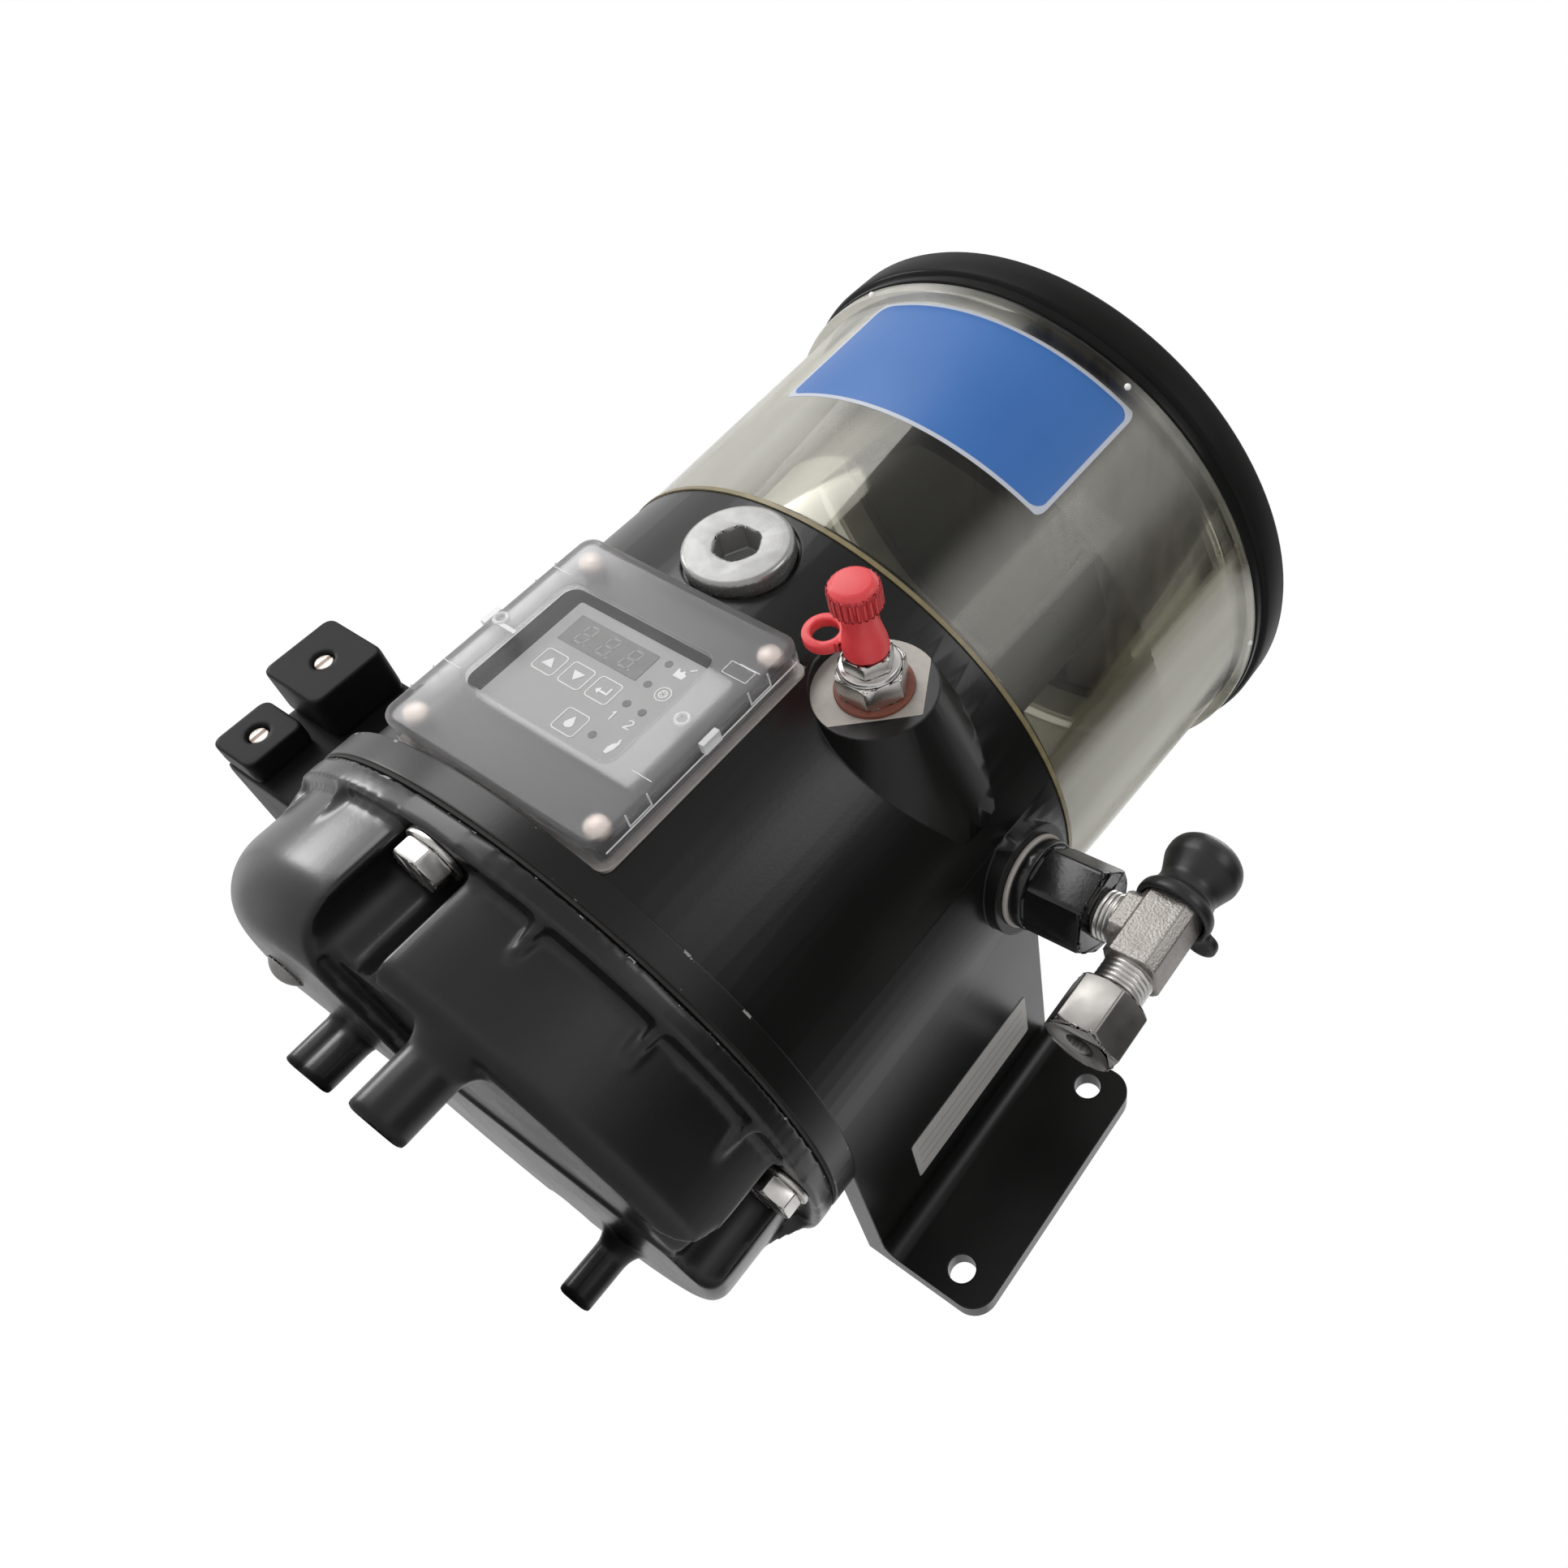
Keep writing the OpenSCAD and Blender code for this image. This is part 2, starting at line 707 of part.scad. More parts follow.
module foot(d, top) {
    translate([0, 0, -foot_h]) cylinder(d = d, h = foot_h + top);
    translate([0, 0, top - cover_wall - 2 * foot_flare])
        cylinder(d1 = d, d2 = d + 2 * foot_flare, h = 2 * foot_flare);
}

module cover_feet() {
    translate(front_foot) foot(front_foot_d, front_z + cover_wall + 1);
    translate(rear_foot) foot(rear_foot_d, cover_wall + 1);
    for (s = [-1, 1]) translate([left_foot[0] + s * left_foot_pitch / 2, left_foot[1]])
        foot(left_foot_d, cover_wall + 1);
}

module bottom_cover() {
    color("#1b1b1c") difference() {
        union() {
            difference() {
                union() {
                    cover_outside();
                    cover_gussets();
                }
                cover_hollow();
            }
            cover_feet();
        }
        translate([0, 0, bulge_z - eps]) each_bolt()
            cylinder(r = pocket_r, h = cover_flange_z - bulge_z + eps);
        translate([0, 0, -eps]) each_bolt() cylinder(r = bolt_hole_r, h = seam_z + 2 * eps);
        translate([drain_at[0], drain_at[1], bulge_z - eps]) cylinder(r = 2.5 + seat_gap, h = 12.5);
    }
}

module cover_gasket() {
    color("#3a3a38") difference() {
        translate([0, 0, seam_z]) ring(flange_r - 0.4, inner_r, gasket_t);
        translate([0, 0, seam_z - eps]) each_bolt() cylinder(r = bolt_hole_r, h = gasket_t + 2 * eps);
    }
}

module cover_bolts() {
    head_z = cover_flange_z - bolt_washer_t - bolt_head_h;
    color("#c9c6be") each_bolt() translate([0, 0, head_z]) {
        hex_turned(bolt_af, bolt_head_h, 0.8);
        cylinder(d = bolt_d, h = bolt_head_h + bolt_washer_t + cover_flange_t + gasket_t + bolt_reach);
    }
}

module cover_washers() {
    color("#d2d0ca") each_bolt() translate([0, 0, cover_flange_z - bolt_washer_t])
        ring(washer_r, bolt_d / 2 + 0.2, bolt_washer_t);
}

module drain_screw() {
    color("#cfcabd") translate([drain_at[0], drain_at[1], bulge_z]) {
        mirror([0, 0, 1]) intersection() {
            cylinder(r = 6, h = 3);
            translate([0, 0, -5]) sphere(r = 8);
        }
        cylinder(r = 2.5, h = 10);
    }
}

// Reservoir and lid

module reservoir() {
    color("#d8d2b4", 0.35) union() {
        rotate_extrude() polygon([[deck_open_r, res_z], [body_r, res_z], [res_top_r, res_top],
            [res_top_r - res_wall, res_top], [body_r - res_wall, res_z + res_floor],
                [deck_open_r, res_z + res_floor]]);
        for (a = [0:60:300]) rotate([0, 0, a]) translate([body_r + res_flare - res_wall / 2, 0, nub_z])
            rotate([0, 90, 0]) cylinder(r = 2, h = 4);
    }
}

module reservoir_seal() {
    color("#8a7442") translate([0, 0, body_top]) ring(body_r + 0.4, body_r - res_seal_w, res_seal_t);
}

module lid() {
    tier = 4;
    color("#0e0e0f") rotate_extrude() {
        translate([lid_in, lid_z]) square([lid_rim - 1.6, tier + eps]);
        translate([lid_in, lid_z + tier]) square([lid_rim, lid_h - tier - lid_round]);
        translate([0, lid_roof]) square([lid_r - lid_round, lid_z + lid_h - lid_roof]);
        intersection() {
            translate([lid_r - lid_round, lid_z + lid_h - lid_round]) circle(r = lid_round);
            translate([lid_in, lid_z + tier]) square([lid_rim, lid_h]);
        }
    }
}

module lid_seal() {
    color("#2a2a2a") translate([0, 0, res_top]) ring(res_top_r, res_top_r - res_wall - 4, lid_seal_t);
}

// Controller

module controller_gasket() {
    color("#cbbfae") facing_front(0, ctrl_seat, ctrl_z) difference() {
        linear_extrude(ctrl_gasket_t) difference() {
            round_rect(ctrl_w, ctrl_h, ctrl_round);
            square([board_w + 2, board_h + 2], center = true);
        }
        translate([0, 0, -eps]) each_ctrl_screw() cylinder(r = screw_hole_r + 0.2, h = ctrl_gasket_t + 1);
    }
}

module controller_base() {
    color("#2b2c2e") facing_front(0, ctrl_back, ctrl_z) difference() {
        linear_extrude(base_t) round_rect(base_w, base_h, ctrl_round - 1);
        translate([display_at[0], display_at[1], -eps]) linear_extrude(base_t + 1)
            square([display_w + 0.4, display_h + 0.4], center = true);
        translate([0, 0, -eps]) each_ctrl_screw() cylinder(r = screw_hole_r + 0.2, h = base_t + 1);
    }
}

module control_board() {
    color("#1f5a36") facing_front(0, ctrl_back - board_t, ctrl_z) linear_extrude(board_t)
        square([board_w, board_h], center = true);
}

module display_module() {
    color("#3a3735") facing_front(display_at[0], ctrl_back, ctrl_z + display_at[1])
        linear_extrude(base_t + 0.6)
        square([display_w, display_h], center = true);
}

module keypad() {
    color("#6f7276") facing_front(0, base_face, ctrl_z) {
        linear_extrude(keypad_t) difference() {
            translate(keypad_at) round_rect(keypad_w, keypad_h, 1.5);
            translate(display_at) square([display_w + 0.4, display_h + 0.4], center = true);
        }
        for (p = key_places) translate([p[0], p[1], keypad_t - 0.2]) linear_extrude(0.5)
            round_rect(key_w, key_w, 1);
    }
}

// Clear box lid with a recessed seat at each corner screw and two catches
module controller_cover() {
    depth = ctrl_face - ctrl_back;
    color("#dfe3e6", 0.35) facing_front(0, ctrl_back, ctrl_z) difference() {
        union() {
            difference() {
                linear_extrude(depth) round_rect(ctrl_w, ctrl_h, ctrl_round);
                translate([0, 0, -eps]) linear_extrude(depth - ctrl_wall + eps)
                    round_rect(ctrl_w - 2 * ctrl_wall, ctrl_h - 2 * ctrl_wall, ctrl_round - ctrl_wall / 2);
            }
            translate([0, 0, base_t]) each_ctrl_screw()
                cylinder(r = screw_post_r, h = depth - base_t - ctrl_wall / 2);
            for (s = [-1, 1]) translate([s * (ctrl_w / 2 - 4), 0, depth - eps]) ring(2.6, 1.3, 1 + eps);
        }
        translate([0, 0, -eps]) each_ctrl_screw() cylinder(r = screw_hole_r + 0.2, h = depth + 1);
        for (z = [-1, 1]) translate([ctrl_w / 2 - 1, z * ctrl_h / 4 - 2, -eps]) cube([3, 4, 4]);
    }
}

module controller_screws() {
    color("#c7a98f") facing_front(0, ctrl_seat - 6, ctrl_z) each_ctrl_screw() {
        cylinder(r = screw_hole_r - seat_gap, h = ctrl_face - ctrl_seat + 6);
        translate([0, 0, ctrl_face - ctrl_seat + 6]) difference() {
            cylinder(r = 3, h = 1.2);
            translate([0, 0, 0.5]) linear_extrude(2) {
                square([0.8, 3.6], center = true);
                square([3.6, 0.8], center = true);
            }
        }
    }
}

// Filler fittings

module fill_plug() {
    washer_face = plug_seat + plug_washer_t;
    color("#b9b7b1") facing_front(0, washer_face, plug_z) difference() {
        union() {
            rotate_extrude() polygon([[0, 0], [plug_d / 2, 0], [plug_d / 2, plug_t - 1],
                [plug_d / 2 - 1, plug_t],
                [0, plug_t]]);
            translate([0, 0, inner_r - 6 - washer_face])
                cylinder(d = plug_thread_d, h = washer_face - inner_r + 6);
        }
        translate([0, 0, -3]) hex_prism(plug_af, plug_t + 4);
        translate([0, 0, plug_t - 1]) cylinder(r1 = plug_af / 2 - 0.4, r2 = plug_af / 2 + 1.2, h = 1.6);
    }
}

module plug_washer() {
    color("#8d8b86") facing_front(0, plug_seat, plug_z)
        ring(plug_d / 2 - 0.6, plug_thread_d / 2 + 0.2, plug_washer_t);
}

module nipple_washer() {
    color("#7d3a24") facing_front(nipple_x, nipple_seat, nipple_z)
        ring(nipple_af / 2 / cos(30) + 0.8, nipple_bore_r + 0.2, nipple_washer_t);
}

module nipple_adapter() {
    washer_face = nipple_seat + nipple_washer_t;
    color("#bdb9af") facing_front(nipple_x, washer_face, nipple_z) difference() {
        union() {
            hex_turned(nipple_af, adapter_h, 1.2);
            translate([0, 0, adapter_h]) cylinder(r = nipple_af / 2 - 0.6, h = 1.2);
            translate([0, 0, -adapter_reach]) cylinder(r = nipple_bore_r, h = adapter_reach);
        }
        translate([0, 0, -adapter_reach - 1]) cylinder(r = 2, h = adapter_reach + 2);
        translate([0, 0, adapter_h - 5]) cylinder(r = 4 + seat_gap, h = 8);
    }
}

module grease_nipple() {
    top = nipple_seat + nipple_washer_t + adapter_h + 1.2;
    color("#cfccc4") facing_front(nipple_x, top, nipple_z) difference() {
        union() {
            translate([0, 0, -5]) cylinder(r = 4, h = 5 + eps);
            hex_turned(nipple_af - 5, upper_hex_h, 0.8);
            cylinder(r = nipple_neck_r - 0.8, h = upper_hex_h + 9);
            translate([0, 0, upper_hex_h + 8])
                cylinder(r1 = nipple_neck_r - 0.8, r2 = nipple_neck_r, h = 1.5);
            translate([0, 0, upper_hex_h + 9.5]) cylinder(r = nipple_neck_r, h = 1.2);
            translate([0, 0, upper_hex_h + 10.7]) cylinder(r1 = nipple_neck_r, r2 = 1.2, h = 2.4);
        }
        translate([0, 0, -6]) cylinder(r = 1, h = upper_hex_h + 15);
    }
}

// Red cap with a knurled head, a waist and a strap loop round the nipple's foot
module nipple_cap() {
    foot = nipple_seat + nipple_washer_t + adapter_h + 1.2 + upper_hex_h;
    head_r = nipple_cap_d / 2;
    color("#e0393e") facing_front(nipple_x, foot, nipple_z) {
        difference() {
            union() {
                rotate_extrude() polygon([[0, 0.4], [head_r - 0.2, 0.4], [head_r - 0.4, 3.4],
                    [head_r - 1.5, 9],
                    [head_r - 1.5, 14.5], [head_r, 15.5], [head_r, 22], [head_r - 1.4, 23.4], [0, 23.4]]);
                for (a = [0:15:345]) rotate([0, 0, a]) translate([head_r, 0, 15.8])
                    cylinder(r = 0.45, h = 5.8);
            }
            cylinder(r = nipple_neck_r + 0.3, h = 14.5);
        }
        translate([-head_r - 4.4, -2.5, 0.4]) difference() {
            union() {
                cylinder(r = 6, h = 3);
                translate([0, -2.2, 0]) cube([6, 4.4, 3]);
            }
            translate([0, 0, -eps]) cylinder(r = 3.6, h = 4);
        }
    }
}

// Pump element and outlet

module element_washer() {
    color("#d9cfbd") along_element(boss_face)
        ring(element_af / 2 / cos(30) + 0.4, shank_r + 0.2, element_washer_t);
}

module pump_element() {
    collar_r = element_af / 2 / cos(30) - 0.3;
    collar = boss_face + element_washer_t;
    color("#101011") difference() {
        union() {
            along_element(shank_in) cylinder(r = shank_r, h = collar - shank_in + eps);
            along_element(collar) cylinder(r = collar_r, h = collar_t);
            along_element(hex_start) rotate([0, 0, 12]) hex_turned(element_af, element_hex, 1.6);
        }
        along_element(shank_in - eps)
            cylinder(r = piston_r + run_gap, h = valve_seat - 2.5 - shank_in + eps);
        along_element(valve_seat - 5) cylinder(r = feed_r, h = 6);
        along_element(valve_seat) cylinder(r = valve_r, h = 12);
        along_element(hex_end - port_depth) cylinder(r = port_r, h = port_depth + eps);
    }
}

module piston() {
    color("#c4c8cc") along_element(piston_in) {
        cylinder(r = piston_foot_r, h = piston_foot_t);
        cylinder(r = piston_r, h = piston_end - piston_in);
    }
}

module piston_spring() {
    start = piston_in + piston_foot_t;
    color("#9aa0a6") along_element(start + 0.1) coil(spring_r, spring_wire, shank_in - start - 0.2, 6);
}

module check_ball() {
    lift = sqrt(ball_r * ball_r - feed_r * feed_r);
    color("#d4d8dc") along_element(valve_seat + lift + 0.05) sphere(r = ball_r);
}

module check_spring() {
    start = valve_seat + sqrt(ball_r * ball_r - feed_r * feed_r) + 2.6;
    color("#9aa0a6") along_element(start) coil(3.1, 0.8, hex_end - port_depth + 0.5 - start, 3);
}

// Forged tee: threaded neck into the element, square run, threads below and above
module tee_fitting() {
    neck = hex_end - port_depth + 0.6;
    color("#b7b0a6") difference() {
        union() {
            along_element(neck) cylinder(r = port_r - seat_gap, h = hex_end + 6 - neck);
            along_element(hex_end + 5.5) linear_extrude(tee_reach - 5) chamfer_square(tee_w - 1, 2);
            down_tee(-tee_up) linear_extrude(tee_up + tee_down) chamfer_square(tee_w, tee_chamfer);
            down_tee(tee_down - eps) cylinder(r = thread_r, h = thread_len + eps);
            down_tee(-tee_up - 4) cylinder(r = tee_w / 2 - 1, h = 5);
        }
        along_element(neck - eps) cylinder(r = 2.5, h = tee_s - neck + eps);
        down_tee(-tee_up - 5) cylinder(r = 2.5, h = tee_up + tee_down + thread_len + 6);
        down_tee(tee_down + thread_len - 6) cylinder(d = tube_d, h = 7);
    }
}

module tube_nut() {
    color("#b3aca3") down_tee(nut_top) difference() {
        hex_turned(nut_af, nut_h, 1.6);
        translate([0, 0, -eps]) cylinder(r = thread_r + seat_gap, h = nut_h / 2 + eps);
        translate([0, 0, -eps]) cylinder(d = tube_d, h = nut_h + 2 * eps);
    }
}

module cutting_ring() {
    room = nut_top + nut_h / 2 - tee_down - thread_len;
    color("#cfc9bf") down_tee(tee_down + thread_len) ring(ring_r, tube_d / 2 + 0.05, room);
}

module relief_valve() {
    color("#a8a49b") down_tee(-tee_up - 4) mirror([0, 0, 1]) {
        cylinder(r = cap_bore_r - 0.4, h = 7);
        translate([0, 0, 7]) cylinder(r = 3, h = 5);
    }
}

// Soft cap: flared lip, waist, bulged head, and a pull tab at the side
module rubber_cap() {
    color("#131313") down_tee(-cap_low) mirror([0, 0, 1]) difference() {
        union() {
            rotate_extrude() polygon([[0, 0], [cap_r - 0.4, 0], [cap_r, 1.2], [cap_r - 0.3, cap_skirt],
                [cap_r - 2.4, cap_skirt + 2.4], [cap_r - 2.9, cap_h * 0.38], [cap_r - 1.9, cap_h * 0.5],
                [cap_r - 0.3, cap_h * 0.66], [cap_r - 0.3, cap_h - 5], [cap_r - 1.1, cap_h - 2.8],
                [cap_r - 3, cap_h - 0.9], [cap_r - 6, cap_h], [0, cap_h]]);
            translate([0, cap_r - 3, 0]) rotate([0, 0, 35]) {
                translate([-5, -1, 0.2]) cube([5, 8, 3.2]);
                translate([-5, 6, 0.2]) cylinder(r = 5, h = 3.2);
            }
        }
        translate([0, 0, -eps]) cylinder(r = tee_corner + 0.2, h = cap_skirt + 0.4 + eps);
        cylinder(r = tee_w / 2 - 0.8, h = cap_skirt + 4.2);
        cylinder(r = cap_bore_r, h = cap_skirt + 11.4);
        cylinder(r = 3.2, h = cap_skirt + 16.4);
    }
}

// Drive

module gear_motor() {
    color("#8c9094") difference() {
        union() {
            translate([0, 0, motor_z]) cylinder(d = motor_d, h = partition_z - gearbox_h - motor_z + eps);
            translate([0, 0, partition_z - gearbox_h]) cylinder(d = gearbox_d, h = gearbox_h);
            translate([0, 0, partition_z - motor_flange_t])
                cylinder(r = motor_flange_r, h = motor_flange_t);
        }
        translate([0, 0, shaft_z - 1]) cylinder(r = shaft_r + run_gap, h = gearbox_h);
        for (a = [45:90:315]) rotate([0, 0, a])
            translate([motor_screw_ring, 0, partition_z - motor_flange_t - eps])
            cylinder(r = motor_screw_r + 0.2, h = motor_flange_t + 2 * eps);
    }
}

module motor_screws() {
    color("#b9bdc1") for (a = [45:90:315])
        rotate([0, 0, a]) translate([motor_screw_ring, 0, partition_z - motor_flange_t]) {
            mirror([0, 0, 1]) difference() {
                cylinder(r = 4.2, h = 4.5);
                translate([0, 0, 2.5]) hex_prism(4, 3);
            }
            cylinder(r = motor_screw_r, h = motor_flange_t + partition_t - 3);
        }
}

module drive_shaft() {
    color("#b4b8bc") translate([0, 0, shaft_z]) cylinder(r = shaft_r, h = shaft_top - shaft_z);
}

module shaft_bearing() {
    color("#c9cdd1") translate([0, 0, partition_z]) difference() {
        ring(bearing_r, shaft_r + run_gap, bearing_h);
        for (z = [-eps, bearing_h - 0.6]) translate([0, 0, z])
            ring(bearing_r - 2.6, shaft_r + 2.4, 0.6 + eps);
    }
}

module shaft_seal() {
    color("#4a2f1e") translate([0, 0, chamber_floor + hub_h - seal_h])
        ring(seal_r, shaft_r + run_gap, seal_h - 0.5);
}

module upper_bush() {
    color("#b08d3c") translate([0, 0, body_top - spider_h]) ring(bush_r, shaft_r + run_gap, spider_h);
}

module eccentric() {
    color("#7f8488") translate([0, 0, element_z - cam_t / 2]) difference() {
        rotate([0, 0, element_angle]) translate([throw, 0, 0]) cylinder(r = cam_r - cam_race, h = cam_t);
        translate([0, 0, -eps]) cylinder(r = shaft_r + 0.02, h = cam_t + 2 * eps);
    }
}

module cam_bearing() {
    color("#cdd1d5") rotate([0, 0, element_angle]) translate([throw, 0, element_z - cam_t / 2])
        ring(cam_r, cam_r - cam_race + 0.02, cam_t);
}

// Hub with a long wiper arm and blade, and a short paddle opposite
module stirrer() {
    color("#202224") difference() {
        translate([0, 0, stirrer_z]) {
            cylinder(r = stirrer_hub_r, h = stirrer_hub_h);
            rotate([0, 0, -35]) {
                translate([0, -4, 0]) cube([stirrer_r - 8, 8, 6]);
                translate([stirrer_r - 12, -9, 0]) rotate([0, 0, 20]) cube([3, 26, blade_h]);
            }
            rotate([0, 0, 145]) {
                translate([0, -4, 0]) cube([stirrer_r - 24, 8, 6]);
                translate([stirrer_r - 40, -1.5, 0]) cube([22, 3, blade_h / 2]);
            }
        }
        translate([0, 0, stirrer_z - eps]) cylinder(r = shaft_r + 0.02, h = stirrer_hub_h + 2 * eps);
    }
}

// Electrical connectors on the left

module connector_box() {
    color("#161617") difference() {
        intersection() {
            translate([-box_reach, -box_front, box_low])
                cube([box_reach - box_in, box_depth, box_top - box_low]);
            translate([-box_in - 2, -box_front + box_depth / 2, box_low])
                linear_extrude(box_top - box_low)
                translate([-(box_reach - box_in) / 2 + 2, 0])
                    round_rect(box_reach - box_in, box_depth, 3);
        }
        facing_front(plug_a_x, box_front - 12, plug_a_z) cylinder(r = plug_screw_r + seat_gap, h = 13);
        facing_front(plug_b_x, box_front - 12, plug_b_z) cylinder(r = plug_screw_r + seat_gap, h = 13);
    }
}

module plug_gaskets() {
    color("#2f2f2f") for (p = [[plug_a_x, plug_a_z, plug_a_w, plug_a_w],
        [plug_b_x, plug_b_z, plug_b_w, plug_b_h]])
        facing_front(p[0], box_front, p[1]) linear_extrude(plug_gasket_t) difference() {
            round_rect(p[2] - 1, p[3] - 1, plug_round);
            circle(r = plug_screw_r + 0.3);
        }
}

module plug_case(w, h, depth) {
    difference() {
        linear_extrude(depth) round_rect(w, h, plug_round);
        translate([0, 0, -eps]) cylinder(r = plug_screw_r + 0.2, h = depth + 1);
        translate([0, 0, depth - plug_recess]) cylinder(r = plug_recess_r, h = plug_recess + eps);
    }
}

module large_plug() {
    color("#141414") facing_front(plug_a_x, plug_face, plug_a_z)
        plug_case(plug_a_w, plug_a_w, plug_a_depth);
}

module small_plug() {
    color("#141414") facing_front(plug_b_x, plug_face, plug_b_z)
        plug_case(plug_b_w, plug_b_h, plug_b_depth);
}

module plug_screws() {
    color("#cfcdc6") for (p = [[plug_a_x, plug_a_z, plug_a_depth], [plug_b_x, plug_b_z, plug_b_depth]])
        facing_front(p[0], plug_face + p[2] - plug_recess, p[1]) {
            difference() {
                cylinder(r = plug_recess_r - 0.6, h = 2);
                translate([0, 0, 1.2]) linear_extrude(2) square([1, 8], center = true);
            }
            translate([0, 0, plug_recess - p[2] - plug_gasket_t - 10])
                cylinder(r = plug_screw_r, h = p[2] - plug_recess + plug_gasket_t + 10);
        }
}

module cable_gland() {
    color("#121212") translate([-(box_reach + box_in) / 2, box_depth / 2 - box_front, box_top]) {
        cylinder(r = gland_r - 1.5, h = 2);
        translate([0, 0, 2]) hex_turned(2 * gland_r - 1, gland_h - 5, 1);
        translate([0, 0, gland_h - 3]) cylinder(r1 = gland_r - 1, r2 = gland_r - 3, h = 3);
    }
}

body_housing();
bottom_cover();
cover_gasket();
cover_bolts();
cover_washers();
drain_screw();
reservoir();
reservoir_seal();
lid();
lid_seal();
controller_gasket();
controller_base();
control_board();
display_module();
keypad();
controller_cover();
controller_screws();
fill_plug();
plug_washer();
nipple_washer();
nipple_adapter();
grease_nipple();
nipple_cap();
element_washer();
pump_element();
piston();
piston_spring();
check_ball();
check_spring();
tee_fitting();
tube_nut();
cutting_ring();
relief_valve();
rubber_cap();
gear_motor();
motor_screws();
drive_shaft();
shaft_bearing();
shaft_seal();
upper_bush();
eccentric();
cam_bearing();
stirrer();
connector_box();
plug_gaskets();
large_plug();
small_plug();
plug_screws();
cable_gland();
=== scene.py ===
import math

import bmesh
import bpy
from mathutils import Matrix, Vector


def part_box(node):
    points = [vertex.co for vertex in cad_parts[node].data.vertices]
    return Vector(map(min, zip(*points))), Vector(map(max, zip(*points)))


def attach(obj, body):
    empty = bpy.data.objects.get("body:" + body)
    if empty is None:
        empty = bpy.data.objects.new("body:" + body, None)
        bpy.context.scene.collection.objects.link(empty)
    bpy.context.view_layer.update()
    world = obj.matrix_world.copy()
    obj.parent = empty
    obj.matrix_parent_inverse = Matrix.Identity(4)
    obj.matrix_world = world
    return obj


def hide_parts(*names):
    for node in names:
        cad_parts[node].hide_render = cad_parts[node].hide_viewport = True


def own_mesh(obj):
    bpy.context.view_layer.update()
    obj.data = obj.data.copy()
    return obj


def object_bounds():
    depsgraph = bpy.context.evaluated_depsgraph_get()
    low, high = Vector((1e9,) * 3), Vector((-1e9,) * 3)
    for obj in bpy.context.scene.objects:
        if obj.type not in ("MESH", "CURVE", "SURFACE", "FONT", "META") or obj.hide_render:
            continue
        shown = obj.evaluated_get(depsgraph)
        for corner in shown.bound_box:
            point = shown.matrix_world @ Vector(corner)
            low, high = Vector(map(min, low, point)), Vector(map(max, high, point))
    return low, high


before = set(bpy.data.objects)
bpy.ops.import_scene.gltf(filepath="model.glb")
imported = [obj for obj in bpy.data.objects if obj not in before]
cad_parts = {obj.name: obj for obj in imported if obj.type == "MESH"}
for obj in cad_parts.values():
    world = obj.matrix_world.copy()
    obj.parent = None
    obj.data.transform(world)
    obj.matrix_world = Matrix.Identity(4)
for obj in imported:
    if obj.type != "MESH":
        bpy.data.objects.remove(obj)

cad_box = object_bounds()

# The view: a short lens close to the pump, looking up along it from the front right.
# The picture is cut from a wider frame, so the lens axis stands right of the middle.
picture = 1932
focal = 1630.33
axis_at = (1208.37, 970.41)
eye = Vector((0.218069, -0.331718, -0.024214))
across = Vector((0.814641, 0.075634, 0.575012))
down = Vector((0.426783, 0.593155, -0.682659))
depth = Vector((-0.392704, 0.801527, 0.450929))
camera = bpy.data.objects.new("photo_camera", bpy.data.cameras.new("photo_camera"))
film_width = 36
camera.data.sensor_width = film_width
camera.data.lens = film_width * focal / picture
camera.data.shift_x = (picture / 2 - axis_at[0]) / picture
camera.data.shift_y = (axis_at[1] - picture / 2) / picture
camera.data.clip_start = 0.01
axes = [(a, -b, -c, e) for a, b, c, e in zip(across, down, depth, eye)]
camera.matrix_world = Matrix(axes + [(0, 0, 0, 1)])
bpy.context.scene.collection.objects.link(camera)
bpy.context.scene.camera = camera
bpy.context.scene.view_settings.view_transform = "Standard"


